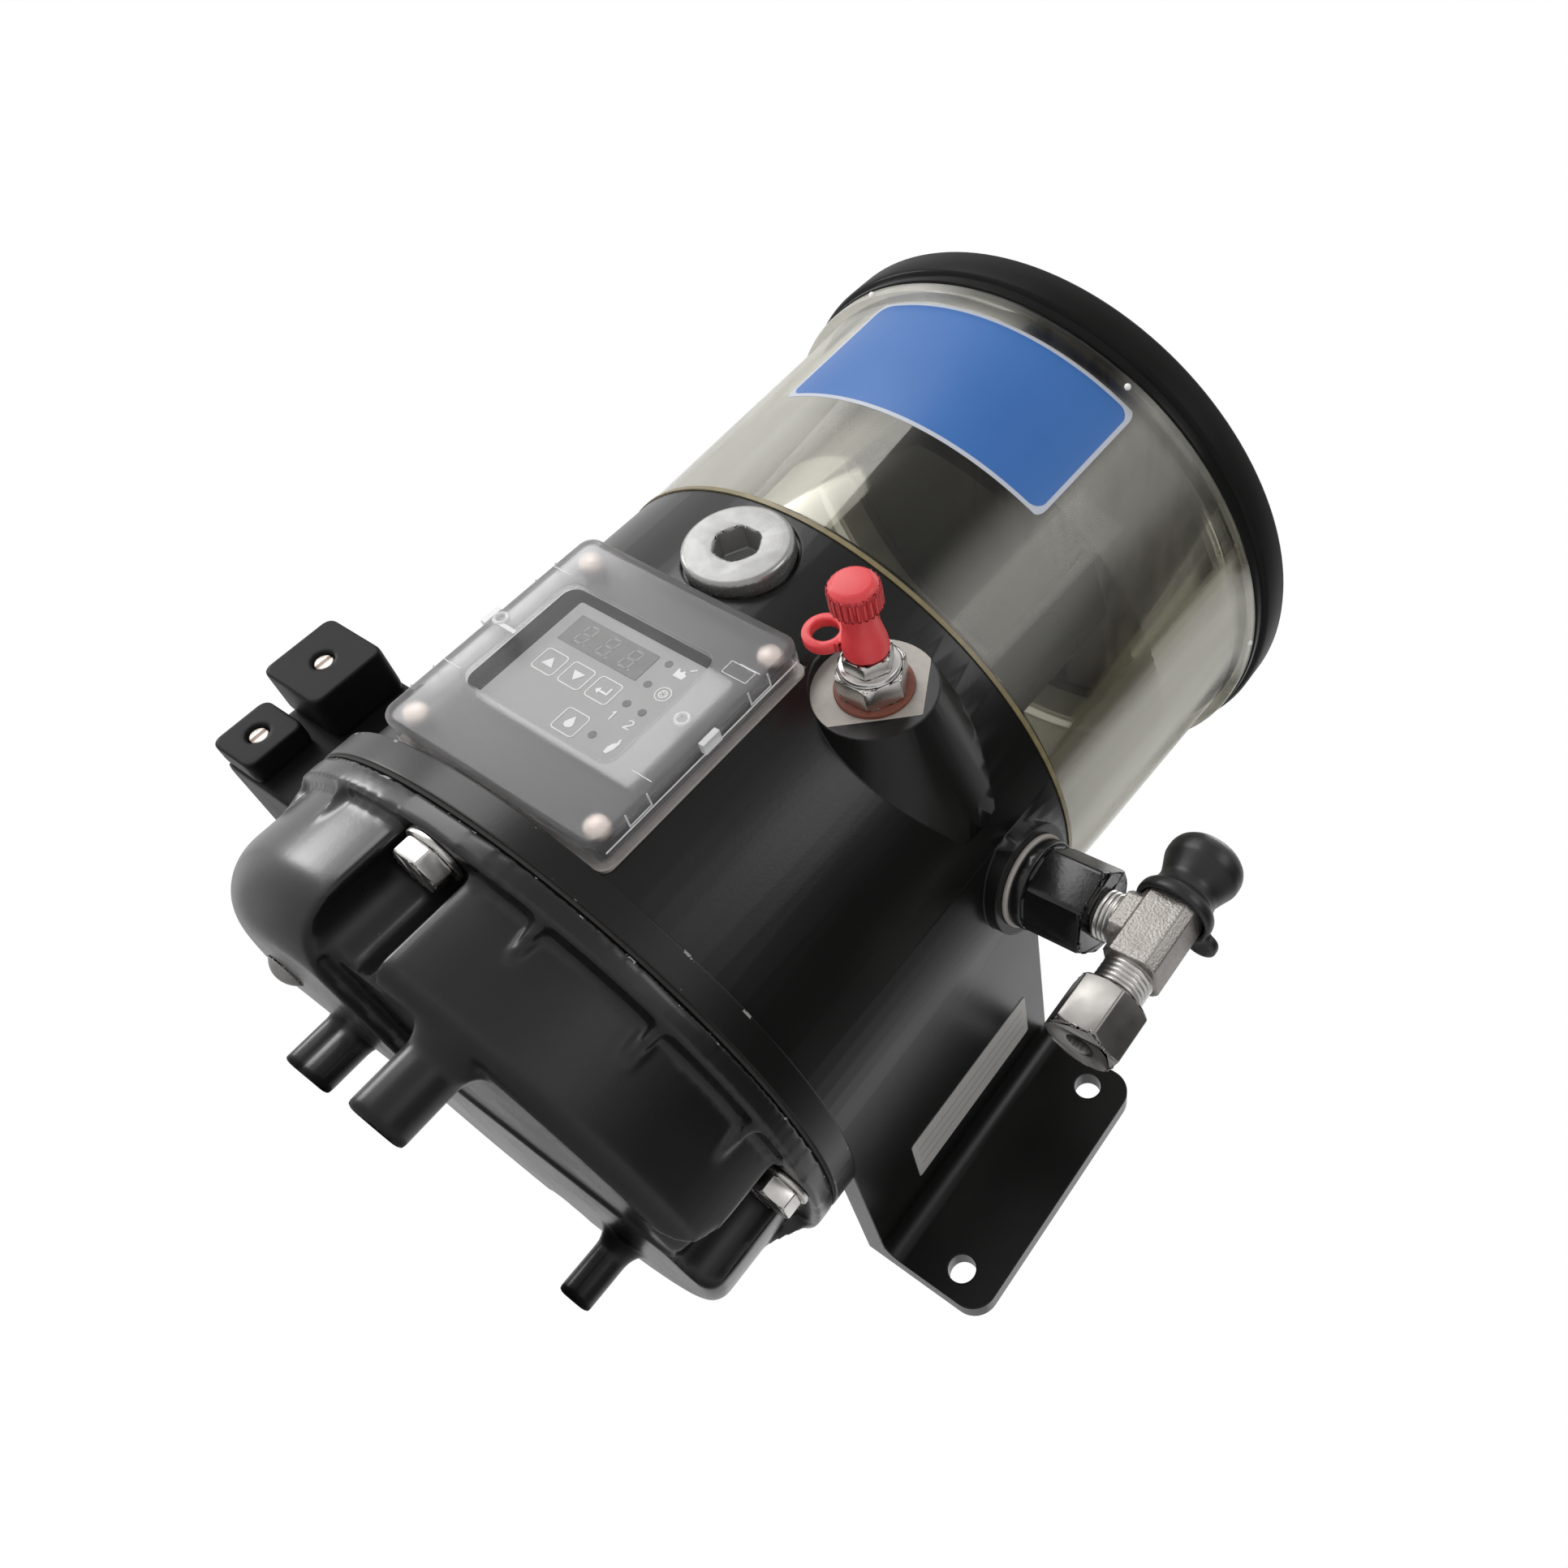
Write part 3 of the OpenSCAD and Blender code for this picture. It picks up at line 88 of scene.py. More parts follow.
# The studio: a white room with a dark right side, soft lamps, and a pale floor under the three feet.
# The floor is seen from above only, because the view comes from just below its level.
class Wire:
    """A shader socket: sums and products of wires add their Math nodes, and add() brings any other node."""

    def __init__(self, tree, socket=None):
        self.tree = tree
        self.socket = socket

    def add(self, kind, settings=None, values=None, out=0):
        node = self.tree.nodes.new("ShaderNode" + kind)
        for name, value in (settings or {}).items():
            if name == "stops":
                stops = node.color_ramp.elements
                stops.remove(stops[1])
                stops[0].position, stops[0].color = value[0]
                for place, colour in value[1:]:
                    stops.new(place).color = colour
            else:
                setattr(node, name, value)
        for name, value in (values or {}).items():
            if isinstance(value, Wire):
                self.tree.links.new(value.socket, node.inputs[name])
            else:
                node.inputs[name].default_value = value
        return Wire(self.tree, node.outputs[out])

    def also(self, out):
        return Wire(self.tree, self.socket.node.outputs[out])

    def into(self, node, name):
        self.tree.links.new(self.socket, node.inputs[name])

    def maths(self, operation, first, second=0.0):
        return self.add("Math", {"operation": operation}, {0: first, 1: second})

    def most(self, other):
        return self.maths("MAXIMUM", self, other)

    def least(self, other):
        return self.maths("MINIMUM", self, other)

    def step(self, low, high):
        return self.add("MapRange", {"interpolation_type": "SMOOTHSTEP"},
                        {"Value": self, "From Min": low, "From Max": high})

    def tint(self, first, second):
        return self.add("Mix", {"data_type": "RGBA"}, {0: self, 6: first, 7: second}, out=2)

    def __add__(self, other):
        return self.maths("ADD", self, other)

    __radd__ = __add__

    def __sub__(self, other):
        return self.maths("SUBTRACT", self, other)

    def __rsub__(self, other):
        return self.maths("SUBTRACT", other, self)

    def __mul__(self, other):
        return self.maths("MULTIPLY", self, other)

    __rmul__ = __mul__

    def __pow__(self, power):
        return self.maths("POWER", self, power)

    def __abs__(self):
        return self.maths("ABSOLUTE", self)

    def __gt__(self, other):
        return self.maths("GREATER_THAN", self, other)

    def __lt__(self, other):
        return self.maths("LESS_THAN", self, other)


world = bpy.data.worlds.new("white_room")
world.use_nodes = True
bpy.context.scene.world = world
room = Wire(world.node_tree)
ambient = 0.45
# Brightness of the room's walls by compass angle: 0 is the front of the pump, 90 its right side
walls = ((-180, 1.0), (-60, 0.8), (-20, 0.5), (20, 0.5), (33, 0.65), (44, 1.0), (54, 0.8), (68, 0.2),
         (84, 0.04), (108, 0.05), (124, 0.3), (138, 0.7), (152, 1.0))
ceiling_light = 0.85
path = room.add("LightPath", out="Is Camera Ray")
way = room.add("SeparateXYZ", None, {"Vector": room.add("TexCoord", out="Generated")})
compass = way.maths("ARCTAN2", way, 0 - way.also("Y")) * (0.5 / math.pi) + 0.5
wall = room.add("ValToRGB", {"stops": [(a / 360 + 0.5, (b, b, b, 1)) for a, b in walls]}, {"Fac": compass})
wall = room.add("SeparateColor", None, {"Color": wall})
ceiling = abs(way.also("Z")).step(0.62, 0.92)
mirrored = path.also("Is Glossy Ray")
shine = wall * (1 - ceiling) + ceiling_light * ceiling
behind = path.also("Is Transmission Ray") + path
level = behind + (1 - behind) * (mirrored * shine + (1 - mirrored) * ambient)
backdrop = world.node_tree.nodes["Background"]
backdrop.inputs["Color"].default_value = (1, 1, 1, 1)
level.into(backdrop, "Strength")


def lamp(name, spot, aim, size, power):
    """A square soft lamp that looks at a point of the pump."""
    light = bpy.data.lights.new(name, "AREA")
    light.shape = "SQUARE"
    light.size = size
    light.energy = power
    holder = bpy.data.objects.new(name, light)
    holder.location = spot
    holder.rotation_euler = (Vector(aim) - Vector(spot)).to_track_quat("-Z", "Y").to_euler()
    bpy.context.scene.collection.objects.link(holder)


lamp("key_lamp", (-0.75, -0.95, 0.45), (0, 0, 0.1), 0.7, 7.0)
lamp("side_lamp", (0.95, -0.8, 0.75), (0, 0, 0.1), 0.5, 2.0)
lamp("left_lamp", (-0.95, -0.35, 0.0), (-0.05, 0, 0), 0.35, 3.2)
lamp("top_lamp", (-0.2, 0.3, 1.5), (0, 0, 0.15), 0.9, 7.0)

floor_mesh = bmesh.new()
floor_half, floor_gap = 4, 0.0002
bmesh.ops.create_grid(floor_mesh, x_segments=1, y_segments=1, size=floor_half)
bmesh.ops.translate(floor_mesh, vec=(0, 0, cad_box[0].z - floor_gap), verts=floor_mesh.verts)
floor_data = bpy.data.meshes.new("floor")
floor_mesh.to_mesh(floor_data)
floor_mesh.free()
pale_floor = bpy.data.materials.new("pale_floor")
pale_floor.use_nodes = True
floor_tree = pale_floor.node_tree
paint = floor_tree.nodes["Principled BSDF"]
paint.inputs["Roughness"].default_value = 0.8
ground = Wire(floor_tree)
cloud = ground.add("TexNoise", None, {"Vector": ground.add("TexCoord", out="Object"), "Scale": 3.0})
cloud.tint((0.86, 0.86, 0.86, 1), (0.9, 0.9, 0.9, 1)).into(paint, "Base Color")
under = ground.add("NewGeometry", out="Backfacing")
surface = ground.add("MixShader", None, {0: under, 1: Wire(floor_tree, paint.outputs[0]),
                                         2: ground.add("BsdfTransparent")})
surface.into(floor_tree.nodes["Material Output"], "Surface")
floor_data.materials.append(pale_floor)
floor = bpy.data.objects.new("floor", floor_data)
bpy.context.scene.collection.objects.link(floor)


# Body housing: an aluminium casting with the joint flange, the wall bracket and the machined seats.
# It is painted satin black all over, and the joint's edges are chipped where it was handled.
def finish(name, colour, rough, metal=0.0, **more):
    """A material with one Principled shader, and a wire with the piece's own coordinates."""
    made = bpy.data.materials.new(name)
    made.use_nodes = True
    shader = made.node_tree.nodes["Principled BSDF"]
    for socket, value in {"Base Color": (*colour, 1), "Roughness": rough, "Metallic": metal, **more}.items():
        shader.inputs[socket].default_value = value
    return made, shader, Wire(made.node_tree).add("TexCoord", out="Object")


def grain(place, size, detail=2.0):
    """Noise with lumps of a size in metres."""
    return place.add("TexNoise", None, {"Vector": place, "Scale": 1 / size, "Detail": detail})


def relief(place, height, depth_m, shader, strength=1.0):
    """A height in metres that turns into the surface's own unevenness."""
    bump = place.add("Bump", None, {"Strength": strength, "Distance": depth_m, "Height": height})
    bump.into(shader, "Normal")


def specks(place, spacing, size, share):
    """Dust: one round speck in some of the cells of a loose grid."""
    near = place.add("TexVoronoi", None, {"Vector": place, "Scale": 1 / spacing}, out="Distance")
    pick = place.add("SeparateColor", None, {"Color": near.also("Color")})
    return (near < size / spacing * pick.also("Green")) * (pick > 1 - share)


def reach(place):
    """The distance from the pump's axis, and the height, in metres."""
    x = place.add("SeparateXYZ", None, {"Vector": place})
    return (x * x + x.also("Y") * x.also("Y")) ** 0.5, x.also("Z")


def dressed(name, data, material, node=None, body="pump"):
    """Puts a finished mesh on the pump: on its body, with its finish, for the solid that it stands for."""
    data.materials.clear()
    data.materials.append(material)
    piece = bpy.data.objects.new(name, data)
    bpy.context.scene.collection.objects.link(piece)
    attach(piece, body)
    if node:
        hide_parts(node)
    return piece


def cleaned(node, name):
    """The solid's mesh with its flat faces whole, all smooth."""
    mesh = bmesh.new()
    mesh.from_mesh(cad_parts[node].data)
    bmesh.ops.remove_doubles(mesh, verts=mesh.verts, dist=2e-6)
    bmesh.ops.dissolve_limit(mesh, angle_limit=math.radians(0.3), verts=mesh.verts, edges=mesh.edges)
    data = bpy.data.meshes.new(name)
    mesh.to_mesh(data)
    mesh.free()
    data.shade_smooth()
    return data


def softened(node, name, material, width, steps=2, body="pump"):
    """The solid with its hard edges broken, as machining and deburring leave them."""
    data = cleaned(node, name)
    piece = dressed(name, data, material, node, body)
    edge = piece.modifiers.new("edge", "BEVEL")
    edge.width = width
    edge.segments = steps
    edge.limit_method = "ANGLE"
    edge.angle_limit = math.radians(30)
    edge.use_clamp_overlap = False
    edge.harden_normals = True
    edge.miter_outer = "MITER_ARC"
    return piece


def cast(node, name, material, body="pump"):
    """The solid as it is, smooth over its curves and flat on its faces, with sharp edges."""
    data = cleaned(node, name)
    data.set_sharp_from_angle(angle=math.radians(14))
    piece = dressed(name, data, material, node, body)
    flats = piece.modifiers.new("flats", "WEIGHTED_NORMAL")
    flats.weight = 90
    flats.keep_sharp = True
    return piece


flange_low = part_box("cover_gasket")[0].z
black_paint, shader, place = finish("satin_black_paint", (0.004, 0.0039, 0.0037), 0.28, 0.0,
                                    **{"Specular IOR Level": 0.36})
drift = grain(place, 0.05)
peel = grain(place, 0.0011, 1.0)
away, height = reach(place)
dust = specks(place, 0.011, 0.00022, 0.35)
joint, flange_t, rim_r = flange_low + 0.001, 0.0078, 0.0935
rim = (abs(height - joint - 0.0002) < 0.0007) * (away > rim_r)
rim = rim + (abs(height - joint - flange_t) < 0.0005) * (away > rim_r + 0.0001)
chips = rim * (grain(place, 0.0035, 4.0) > 0.66)
pale = (dust * 0.5).most(chips * 0.7)
dark = drift.tint((0.0036, 0.0035, 0.0033, 1), (0.0052, 0.005, 0.0047, 1))
pale.tint(dark, (0.42, 0.42, 0.41, 1)).into(shader, "Base Color")
(0.24 + 0.1 * drift + 0.3 * pale).into(shader, "Roughness")
edges = place.add("Bevel", {"samples": 6}, {"Radius": 0.0008})
bumps = place.add("Bump", None, {"Strength": 0.35, "Distance": 0.00004, "Height": peel, "Normal": edges})
bumps.into(shader, "Normal")
cast("body_housing", "housing", black_paint)


# Bottom cover: one black moulding with a flange, gussets, a deep rear part, a bulge and three feet.
# The plastic is semi-glossy with a fine grain, and its corners are moulded round.
def moulded(node, name, material, voxel, rounds, body="pump"):
    """The solid as a moulding: skinned in small steps, then worn round by some rounds of smoothing."""
    rough_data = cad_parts[node].data.copy()
    rough = bpy.data.objects.new("rough", rough_data)
    bpy.context.scene.collection.objects.link(rough)
    skin = rough.modifiers.new("skin", "REMESH")
    skin.mode = "VOXEL"
    skin.voxel_size = voxel
    bpy.context.view_layer.update()
    mesh = bmesh.new()
    mesh.from_object(rough, bpy.context.evaluated_depsgraph_get())
    bpy.data.objects.remove(rough)
    bpy.data.meshes.remove(rough_data)
    for turn in range(rounds):
        bmesh.ops.smooth_vert(mesh, verts=mesh.verts, factor=0.5, use_axis_x=True, use_axis_y=True,
                              use_axis_z=True)
    data = bpy.data.meshes.new(name)
    mesh.to_mesh(data)
    mesh.free()
    data.shade_smooth()
    return dressed(name, data, material, node, body)


black_plastic, shader, place = finish("moulded_black", (0.006, 0.006, 0.0063), 0.26)
drift = grain(place, 0.03)
fine = grain(place, 0.0008, 1.0)
away, height = reach(place)
dust = specks(place, 0.008, 0.0002, 0.3)
rim = (abs(height - flange_low + 0.0004) < 0.0007) * (away > 0.0932)
chips = rim * (grain(place, 0.003, 4.0) > 0.64)
pale = (dust * 0.5).most(chips * 0.7)
tone = drift.tint((0.005, 0.005, 0.0053, 1), (0.009, 0.009, 0.0095, 1))
pale.tint(tone, (0.45, 0.45, 0.46, 1)).into(shader, "Base Color")
(0.2 + 0.14 * drift + 0.3 * pale).into(shader, "Roughness")
relief(place, fine, 0.00003, shader, 0.4)
moulded("bottom_cover", "cover", black_plastic, 0.0012, 2)


# Joint gasket: a flat ring of dark fibre sheet, cut to the flange and squeezed between cover and body.
# Only its dark edge shows in the seam.
fibre, shader, place = finish("gasket_fibre", (0.02, 0.019, 0.018), 0.85)
grain(place, 0.0012, 4.0).tint((0.012, 0.011, 0.01, 1), (0.035, 0.032, 0.03, 1)).into(shader, "Base Color")
cast("cover_gasket", "joint_gasket", fibre)


# Cover bolts, washers and the drain screw: bright zinc-plated steel, bought in and screwed up from below.
# The plating is smooth on the flats, with fine turning marks on the washers.
zinc, shader, place = finish("bright_zinc", (0.62, 0.61, 0.59), 0.24, 1.0)
cloud = grain(place, 0.004, 3.0)
lines = grain(place.add("Mapping", None, {"Vector": place, "Scale": (1, 1, 9)}), 0.0015, 3.0)
cloud.tint((0.72, 0.71, 0.69, 1), (0.55, 0.53, 0.5, 1)).into(shader, "Base Color")
(0.16 + 0.2 * cloud + 0.08 * lines).into(shader, "Roughness")
relief(place, lines, 0.00003, shader, 0.4)
softened("cover_bolts", "joint_bolts", zinc, 0.0004)
softened("cover_washers", "joint_washers", zinc, 0.0003)
softened("drain_screw", "drain_dome", zinc, 0.0003)


# Drive inside the body: a geared motor under the partition, its shaft, bearing, seal, bush and cam.
# Turned and ground steel, a bronze bush and a rubber seal, all in a film of grease.
motor_paint, shader, place = finish("motor_paint", (0.22, 0.23, 0.24), 0.45)
grain(place, 0.006, 3.0).tint((0.20, 0.21, 0.22, 1), (0.27, 0.28, 0.29, 1)).into(shader, "Base Color")
relief(place, grain(place, 0.0012), 0.00005, shader)
softened("gear_motor", "gear_motor_case", motor_paint, 0.0008)

ground_steel, shader, place = finish("ground_steel", (0.56, 0.57, 0.58), 0.22, 1.0)
marks = grain(place.add("Mapping", None, {"Vector": place, "Scale": (1, 1, 14)}), 0.002, 3.0)
marks.tint((0.62, 0.63, 0.64, 1), (0.47, 0.48, 0.49, 1)).into(shader, "Base Color")
(0.14 + 0.2 * marks).into(shader, "Roughness")
softened("drive_shaft", "drive_spindle", ground_steel, 0.0005, body="drive")
softened("eccentric", "cam_eccentric", ground_steel, 0.0005, body="drive")
softened("cam_bearing", "cam_roller", ground_steel, 0.0006, body="drive")
softened("shaft_bearing", "spindle_bearing", ground_steel, 0.0003)
softened("motor_screws", "motor_bolts", zinc, 0.0003)
softened("piston", "piston_pin", ground_steel, 0.0003, body="piston")
for node in ("check_ball", "check_spring"):
    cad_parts[node].data.materials.clear()
    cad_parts[node].data.materials.append(ground_steel)

bronze, shader, place = finish("bush_bronze", (0.55, 0.36, 0.15), 0.35, 1.0)
grain(place, 0.002, 4.0).tint((0.58, 0.39, 0.17, 1), (0.42, 0.27, 0.11, 1)).into(shader, "Base Color")
softened("upper_bush", "spindle_bush", bronze, 0.0003)

rubber, shader, place = finish("black_rubber", (0.008, 0.008, 0.0083), 0.4)
soft = grain(place, 0.006, 3.0)
soft.tint((0.006, 0.006, 0.0063, 1), (0.013, 0.013, 0.0135, 1)).into(shader, "Base Color")
(0.3 + 0.2 * soft).into(shader, "Roughness")
relief(place, grain(place, 0.0015, 3.0), 0.00005, shader, 0.4)
softened("shaft_seal", "spindle_seal", rubber, 0.0004)


# Stirrer: a black moulded hub with a long wiper blade and a short paddle, pushed on the spindle.
# It turns in the grease chamber and shows dimly through the clear wall.
softened("stirrer", "wiper", black_plastic, 0.0005, body="drive")


# Reservoir: a clear moulded drum, slightly wider at the top, with a bead and six nubs under the lid.
# The plastic is smoky with a touch of yellow, and it has fine scratches and dust on it; pale cream patches
# round the wall are painted light.
def turned(profile, steps=128, closed=False):
    """A shape turned round Z from a profile of radius and height in millimetres."""
    mesh = bmesh.new()
    line = [mesh.verts.new((r, 0, z)) for r, z in profile]
    for a, b in zip(line, line[1:] + line[:1] if closed else line[1:]):
        mesh.edges.new((a, b))
    bmesh.ops.spin(mesh, geom=mesh.verts[:] + mesh.edges[:], axis=(0, 0, 1), cent=(0, 0, 0),
                   angle=2 * math.pi, steps=steps, use_merge=True)
    return mesh


def settled(mesh, name, material, node=None, body="pump", crease=35, move=None):
    """Turns a mesh made in millimetres into a finished piece in metres."""
    bmesh.ops.remove_doubles(mesh, verts=mesh.verts, dist=1e-4)
    bmesh.ops.recalc_face_normals(mesh, faces=mesh.faces)
    if move:
        bmesh.ops.transform(mesh, matrix=move, verts=mesh.verts)
    bmesh.ops.scale(mesh, vec=(0.001, 0.001, 0.001), verts=mesh.verts)
    data = bpy.data.meshes.new(name)
    mesh.to_mesh(data)
    mesh.free()
    data.shade_smooth()
    data.set_sharp_from_angle(angle=math.radians(crease))
    return dressed(name, data, material, node, body)


drum_low, drum_top = (corner.z * 1000 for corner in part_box("reservoir"))
drum_r, drum_flare, drum_wall, deck_hole = 90.0, 4.0, 3.0, 74.0
drum_foot = drum_low + 3.0
bead = drum_top - 10.1


def drum_at(z):
    """The drum's outer radius at a height."""
    return drum_r + drum_flare * (z - drum_low) / (drum_top - drum_low)


bead_r, drum_steps = 97.1, 160
drum = turned([(deck_hole, drum_low), (drum_r - 0.4, drum_low), (drum_r, drum_low + 0.4),
               (drum_at(bead - 6.2), bead - 6.2), (drum_at(bead - 5.6) + 0.4, bead - 5.6),
               (bead_r - 1.5, bead - 5.3), (bead_r - 0.3, bead - 4.9), (bead_r, bead - 4.2),
               (bead_r, bead - 0.5), (bead_r - 0.3, bead), (drum_at(bead), bead),
               (drum_at(drum_top), drum_top), (drum_at(drum_top) - drum_wall, drum_top),
               (drum_r - drum_wall, drum_foot), (deck_hole, drum_foot)], drum_steps, closed=True)
clear_wall, shader, place = finish("clear_smoky", (0.86, 0.85, 0.79), 0.05, 1.0)
# Share of painted light on the wall by compass angle, a cream colour standing in for lit and reflected light:
# 0 is the front of the pump, 90 its right side
painted_light_by_angle = ((-180, 0.35), (-60, 0.5), (-16, 0.45), (-4, 0.16), (4, 0.12), (11, 0.05), (26, 0.03),
                 (36, 0.26), (46, 0.2), (58, 0.1), (70, 0.05), (77, 0.5), (92, 0.55), (100, 0.2),
                 (108, 0.06), (125, 0.35))
x = place.add("SeparateXYZ", None, {"Vector": place})
turn = x.maths("ARCTAN2", x, 0 - x.also("Y")) * (0.5 / math.pi) + 0.5
stops = [(a / 360 + 0.5, (b, b, b, 1)) for a, b in painted_light_by_angle]
painted_light_share = place.add("ValToRGB", {"stops": stops}, {"Fac": turn})
away = reach(place)[0]
# Painted light: a cream colour on the wall's outer skin by compass angle, streaked by noise, that turns the
# clear mirror into pale cream where it lies.
painted_light_streaks = grain(place.add("Mapping", None, {"Vector": place, "Scale": (3, 3, 0.4)}), 0.06, 3.0)
painted_light_reach = 0.0889
cream_painted_light = place.add("SeparateColor", None, {"Color": painted_light_share}) * (away > painted_light_reach) * (0.55 + 0.8 * painted_light_streaks)
(1 - cream_painted_light.step(0.02, 0.2)).into(shader, "Metallic")
fresnel = place.add("Fresnel", None, {"IOR": 1.3})
along = place.add("Mapping", None, {"Vector": place, "Scale": (1, 1, 14), "Rotation": (0.5, 0.3, 0.2)})
scratch = grain(along, 0.004, 5.0).step(0.66, 0.74) * grain(place, 0.03, 2.0).step(0.5, 0.72)
dust = specks(place, 0.009, 0.00022, 0.3)
haze = (scratch * 0.10).most(dust * 0.6)
(0.04 + 0.5 * haze).into(shader, "Roughness")
film = place.add("BsdfTransparent", None, {"Color": (0.87, 0.862, 0.82, 1)})
share = (fresnel * 1.1 + haze).most(cream_painted_light).least(0.92)
clear = place.add("MixShader", None, {0: share, 1: film, 2: Wire(clear_wall.node_tree, shader.outputs[0])})
clear.into(clear_wall.node_tree.nodes["Material Output"], "Surface")
settled(drum, "drum", clear_wall, "reservoir", crease=40)

nub_clear, shader, place = finish("nub_clear", (0.9, 0.89, 0.86), 0.12, 0.0, **{"Coat Weight": 1.0})
grain(place, 0.001).tint((0.85, 0.84, 0.8, 1), (0.95, 0.94, 0.91, 1)).into(shader, "Base Color")
nubs = bmesh.new()
nub_count, nub_r, nub_out, nub_drop = 6, 1.1, 97.0, 3.6
for turn in range(nub_count):
    nub = bmesh.ops.create_uvsphere(nubs, u_segments=16, v_segments=10, radius=nub_r)["verts"]
    around = Matrix.Rotation(math.radians(360 / nub_count * turn), 4, "Z")
    spot = around @ Vector((nub_out, 0, bead - nub_drop))
    bmesh.ops.translate(nubs, vec=spot, verts=nub)
settled(nubs, "drum_nubs", nub_clear)


# Reservoir seal: an amber rubber ring, cut flat and pressed between the body and the clear drum.
# Only its edge shows, as a thin line.
amber, shader, place = finish("amber_seal", (0.20, 0.16, 0.075), 0.35)
grain(place, 0.004, 3.0).tint((0.30, 0.25, 0.13, 1), (0.12, 0.095, 0.045, 1)).into(shader, "Base Color")
cast("reservoir_seal", "drum_seal", amber)


# Lid: a black moulding with a round rim and a lower step, pressed down over the drum on a flat seal.
# The rim is satin, the step is glossy, and a film of old grease clings to the flat underside.
lid_low, lid_top = (corner.z * 1000 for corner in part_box("lid"))
lid_under = lid_low + 12.0
lid_black, shader, place = finish("lid_black", (0.008, 0.0079, 0.0078), 0.42, 0.0,
                                  **{"Specular IOR Level": 0.07})
drift = grain(place, 0.02, 3.0)
away, height = reach(place)
inside = (away < 0.0942) * (height < lid_under / 1000 + 0.0001)
drawn = place.add("Mapping", None, {"Vector": place, "Scale": (5, 1, 1), "Rotation": (0, 0, 0.5)})
smear = grain(drawn, 0.05, 3.0)
across_lid = place.add("SeparateXYZ", None, {"Vector": place})
warm = (across_lid - 0.3 * across_lid.also("Y")).step(-0.06, 0.05)
grease = smear.step(0.35, 0.62).tint((0.15, 0.125, 0.115, 1), (0.05, 0.04, 0.035, 1))
grease = warm.tint((0.02, 0.021, 0.023, 1), grease)
satin = drift.tint((0.007, 0.007, 0.0068, 1), (0.012, 0.0118, 0.0115, 1))
inside.tint(satin, grease).into(shader, "Base Color")
(0.14 + (height > lid_low / 1000 + 0.0045) * 0.24 + 0.12 * drift).into(shader, "Roughness")
relief(place, grain(place, 0.0009, 1.0), 0.00003, shader, 0.4)
skirt_in, skirt_out, lid_r, lid_sunk = 94.3, 97.6, 99.2, 0.9
lid = turned([(0, lid_under), (skirt_in, lid_under), (skirt_in, lid_low + 0.3), (skirt_in + 0.3, lid_low),
              (skirt_out - 0.6, lid_low), (skirt_out - 0.1, lid_low + 0.4), (skirt_out, lid_low + 1),
              (skirt_out, lid_low + 3.6), (lid_r - 0.8, lid_low + 4), (lid_r - 0.3, lid_low + 4.5),
              (lid_r, lid_low + 5.4), (lid_r, lid_top - 1.3), (lid_r - 0.4, lid_top - 0.4),
              (lid_r - 1.3, lid_top), (lid_r - 9.2, lid_top), (lid_r - 10.6, lid_top - 0.4),
              (lid_r - 11.4, lid_top - lid_sunk), (0, lid_top - lid_sunk)], drum_steps)
settled(lid, "lid_cap", lid_black, "lid", crease=40)
cast("lid_seal", "lid_ring", rubber)


# Label: a printed film with round corners, stuck on the front of the drum under the bead.
# It is plain blue with a pale grey border.
label_low, label_high, label_from, label_to = drum_low + 45.0, bead - 5.9, -26.7, 34.5
label_t, rows = 0.12, 12
label = bmesh.new()
edge_line = []
for row in range(rows + 1):
    z = label_low + (label_high - label_low) * row / rows
    edge_line.append(label.verts.new((0, -(drum_at(z) + label_t), z)))
for a, b in zip(edge_line, edge_line[1:]):
    label.edges.new((a, b))
bmesh.ops.rotate(label, matrix=Matrix.Rotation(math.radians(label_from), 3, "Z"), verts=label.verts)
bmesh.ops.spin(label, geom=label.verts[:] + label.edges[:], axis=(0, 0, 1), cent=(0, 0, 0),
               angle=math.radians(label_to - label_from), steps=48)
corners = [v for v in label.verts if len(v.link_edges) == 2]
bmesh.ops.bevel(label, geom=corners, offset=4.6, segments=8, profile=0.5, affect="VERTICES", material=-1)
bmesh.ops.recalc_face_normals(label, faces=label.faces)
bmesh.ops.solidify(label, geom=label.faces[:], thickness=label_t)
blue_film, shader, place = finish("blue_film", (0.03, 0.14, 0.42), 0.3)
x = place.add("SeparateXYZ", None, {"Vector": place})
turn = x.maths("ARCTAN2", x, 0 - x.also("Y"))
middle = math.radians((label_from + label_to) / 2)
label_r = drum_at((label_low + label_high) / 2) / 1000
half_turn = math.radians((label_to - label_from) / 2) * label_r
border_in = 0.0056
side = abs((turn - middle) * label_r) - (half_turn - border_in)
rise = abs(x.also("Z") - (label_low + label_high) / 2000) - ((label_high - label_low) / 2000 - border_in)
corner = (side.most(0) ** 2 + rise.most(0) ** 2) ** 0.5
border = corner.step(0.0040, 0.0043)
print_tone = grain(place, 0.03, 3.0).tint((0.026, 0.125, 0.39, 1), (0.038, 0.155, 0.45, 1))
border.tint(print_tone, (0.50, 0.53, 0.60, 1)).into(shader, "Base Color")
relief(place, grain(place, 0.006, 2.0), 0.0001, shader, 0.3)
settled(label, "drum_label", blue_film)


